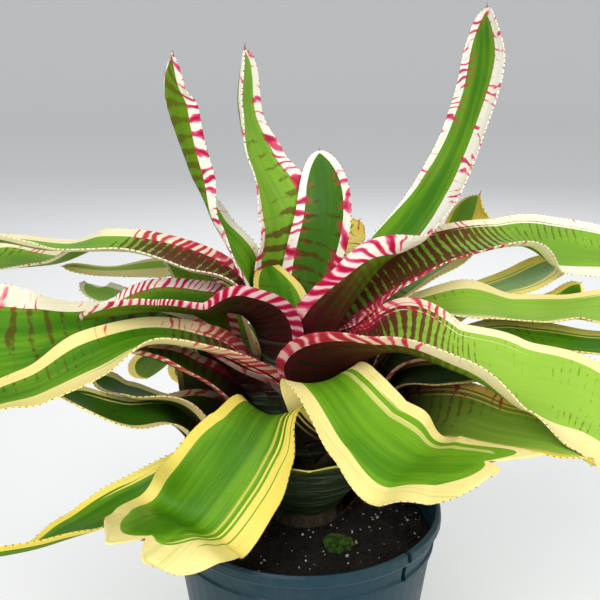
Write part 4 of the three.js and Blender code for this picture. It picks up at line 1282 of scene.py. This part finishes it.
sheets = sheet_tree()
blades = blade_tree()
skin = leaf_skin()
leaves = [{**PLAIN_LEAF, **row} for row in LEAVES]
bases = [{**PLAIN_LEAF, **PLAIN_BASE, **row} for row in OLD_BASES]
nests = nest_places(leaves + bases)


def leaf_sheet(name, leaf, nest, rows, seed):
    """A leaf without thickness."""
    midrib = midrib_object(name + "_midrib", leaf, nest, rows, seed)
    return grown(midrib, sheets, name + "_sheet", Ripple=leaf["wavy"] * MM, Leaf_Material=skin)


def add_leaf(name, node, sheet, seed):
    """The finished leaf, in the place of its node."""
    piece = grown(sheet, blades, name, Seed=seed, Leaf_Material=skin)
    piece.data.set_sharp_from_angle(angle=radians(SHARP_ANGLE))
    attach(piece, "root")
    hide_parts(node)


flats = [leaf_sheet(f"leaf_{k + 1:02d}", leaf, nests[k], BLADE_ROWS, k + 1)
         for k, leaf in enumerate(leaves)]
base_flats = [leaf_sheet(f"old_leaf_base_{k + 1}", base, nests[len(leaves) + k], BASE_ROWS,
                         BASE_SEED + k) for k, base in enumerate(bases)]
placed = []
for leaf, sheet in zip(leaves, flats):
    younger = flats[:len(placed)]
    if leaf.get("over"):
        for other in younger:
            press(other, [outline(sheet)], way=1, clearance=REST_CLEARANCE, passes=REST_PASSES)
        placed = [outline(other) for other in younger]
    else:
        held = leaf.get("holds")
        press(sheet, [other for number, other in enumerate(placed, 1) if number != held])
    placed.append(outline(sheet))

for number, sheet in enumerate(flats, 1):
    add_leaf(f"leaf_{number:02d}_blade", f"leaf_{number:02d}", sheet, number)
for k, sheet in enumerate(base_flats):
    node = f"old_leaf_base_{k + 1}"
    add_leaf(node + "_skin", node, sheet, BASE_SEED + k)

# ---------------------------------------------------------------- floor and light
# A plain pale floor that curves up far away into a plain pale wall all round, under soft
# studio light.
COVE_REACH = 4.5       # metres of level floor round the middle
COVE_CURVE = 2.0
COVE_SIDES = 96
FLOOR_PALE = (0.92, 0.92, 0.91, 1)
ROOM_PALE = (0.8, 0.82, 0.85, 1)
ROOM_LIGHT = 0.62


def cove():
    """Rings of points out along the floor and up the wall."""
    bends = np.linspace(0, pi / 2, 13)
    profile = [(COVE_REACH * share, 0) for share in (0.1, 0.3, 0.6)]
    profile += [(COVE_REACH + COVE_CURVE * sin(a), COVE_CURVE * (1 - cos(a))) for a in bends]
    points = [(r * cos(a), r * sin(a), h) for r, h in profile for a in around(COVE_SIDES)]
    return points, [tuple(range(COVE_SIDES))] + between_rings(len(profile), COVE_SIDES)


floor_finish = finish_named("floor", Base_Color=FLOOR_PALE, Roughness=0.9)[0]
mesh_object("floor", *cove(), floor_finish)

# name, place, width in metres, watts
SOFT_LIGHTS = [
    ("key", (-0.6, -1.3, 1.3), 1.1, 23),
    ("fill", (1.2, -0.8, 0.8), 1.1, 11),
    ("back", (0.2, 1.3, 1.2), 1.0, 7),
]
LIT_PLACE = Vector((0, 0, 0.2))
for name, place, size, power in SOFT_LIGHTS:
    lamp = bpy.data.objects.new(name, bpy.data.lights.new(name, "AREA"))
    lamp.data.size = size
    lamp.data.energy = power
    lamp.location = place
    lamp.rotation_euler = (LIT_PLACE - Vector(place)).to_track_quat("-Z", "Y").to_euler()
    bpy.context.collection.objects.link(lamp)

room = bpy.data.worlds.new("room")
room.use_nodes = True
background = room.node_tree.nodes["Background"]
background.inputs["Color"].default_value = ROOM_PALE
background.inputs["Strength"].default_value = ROOM_LIGHT
bpy.context.scene.world = room
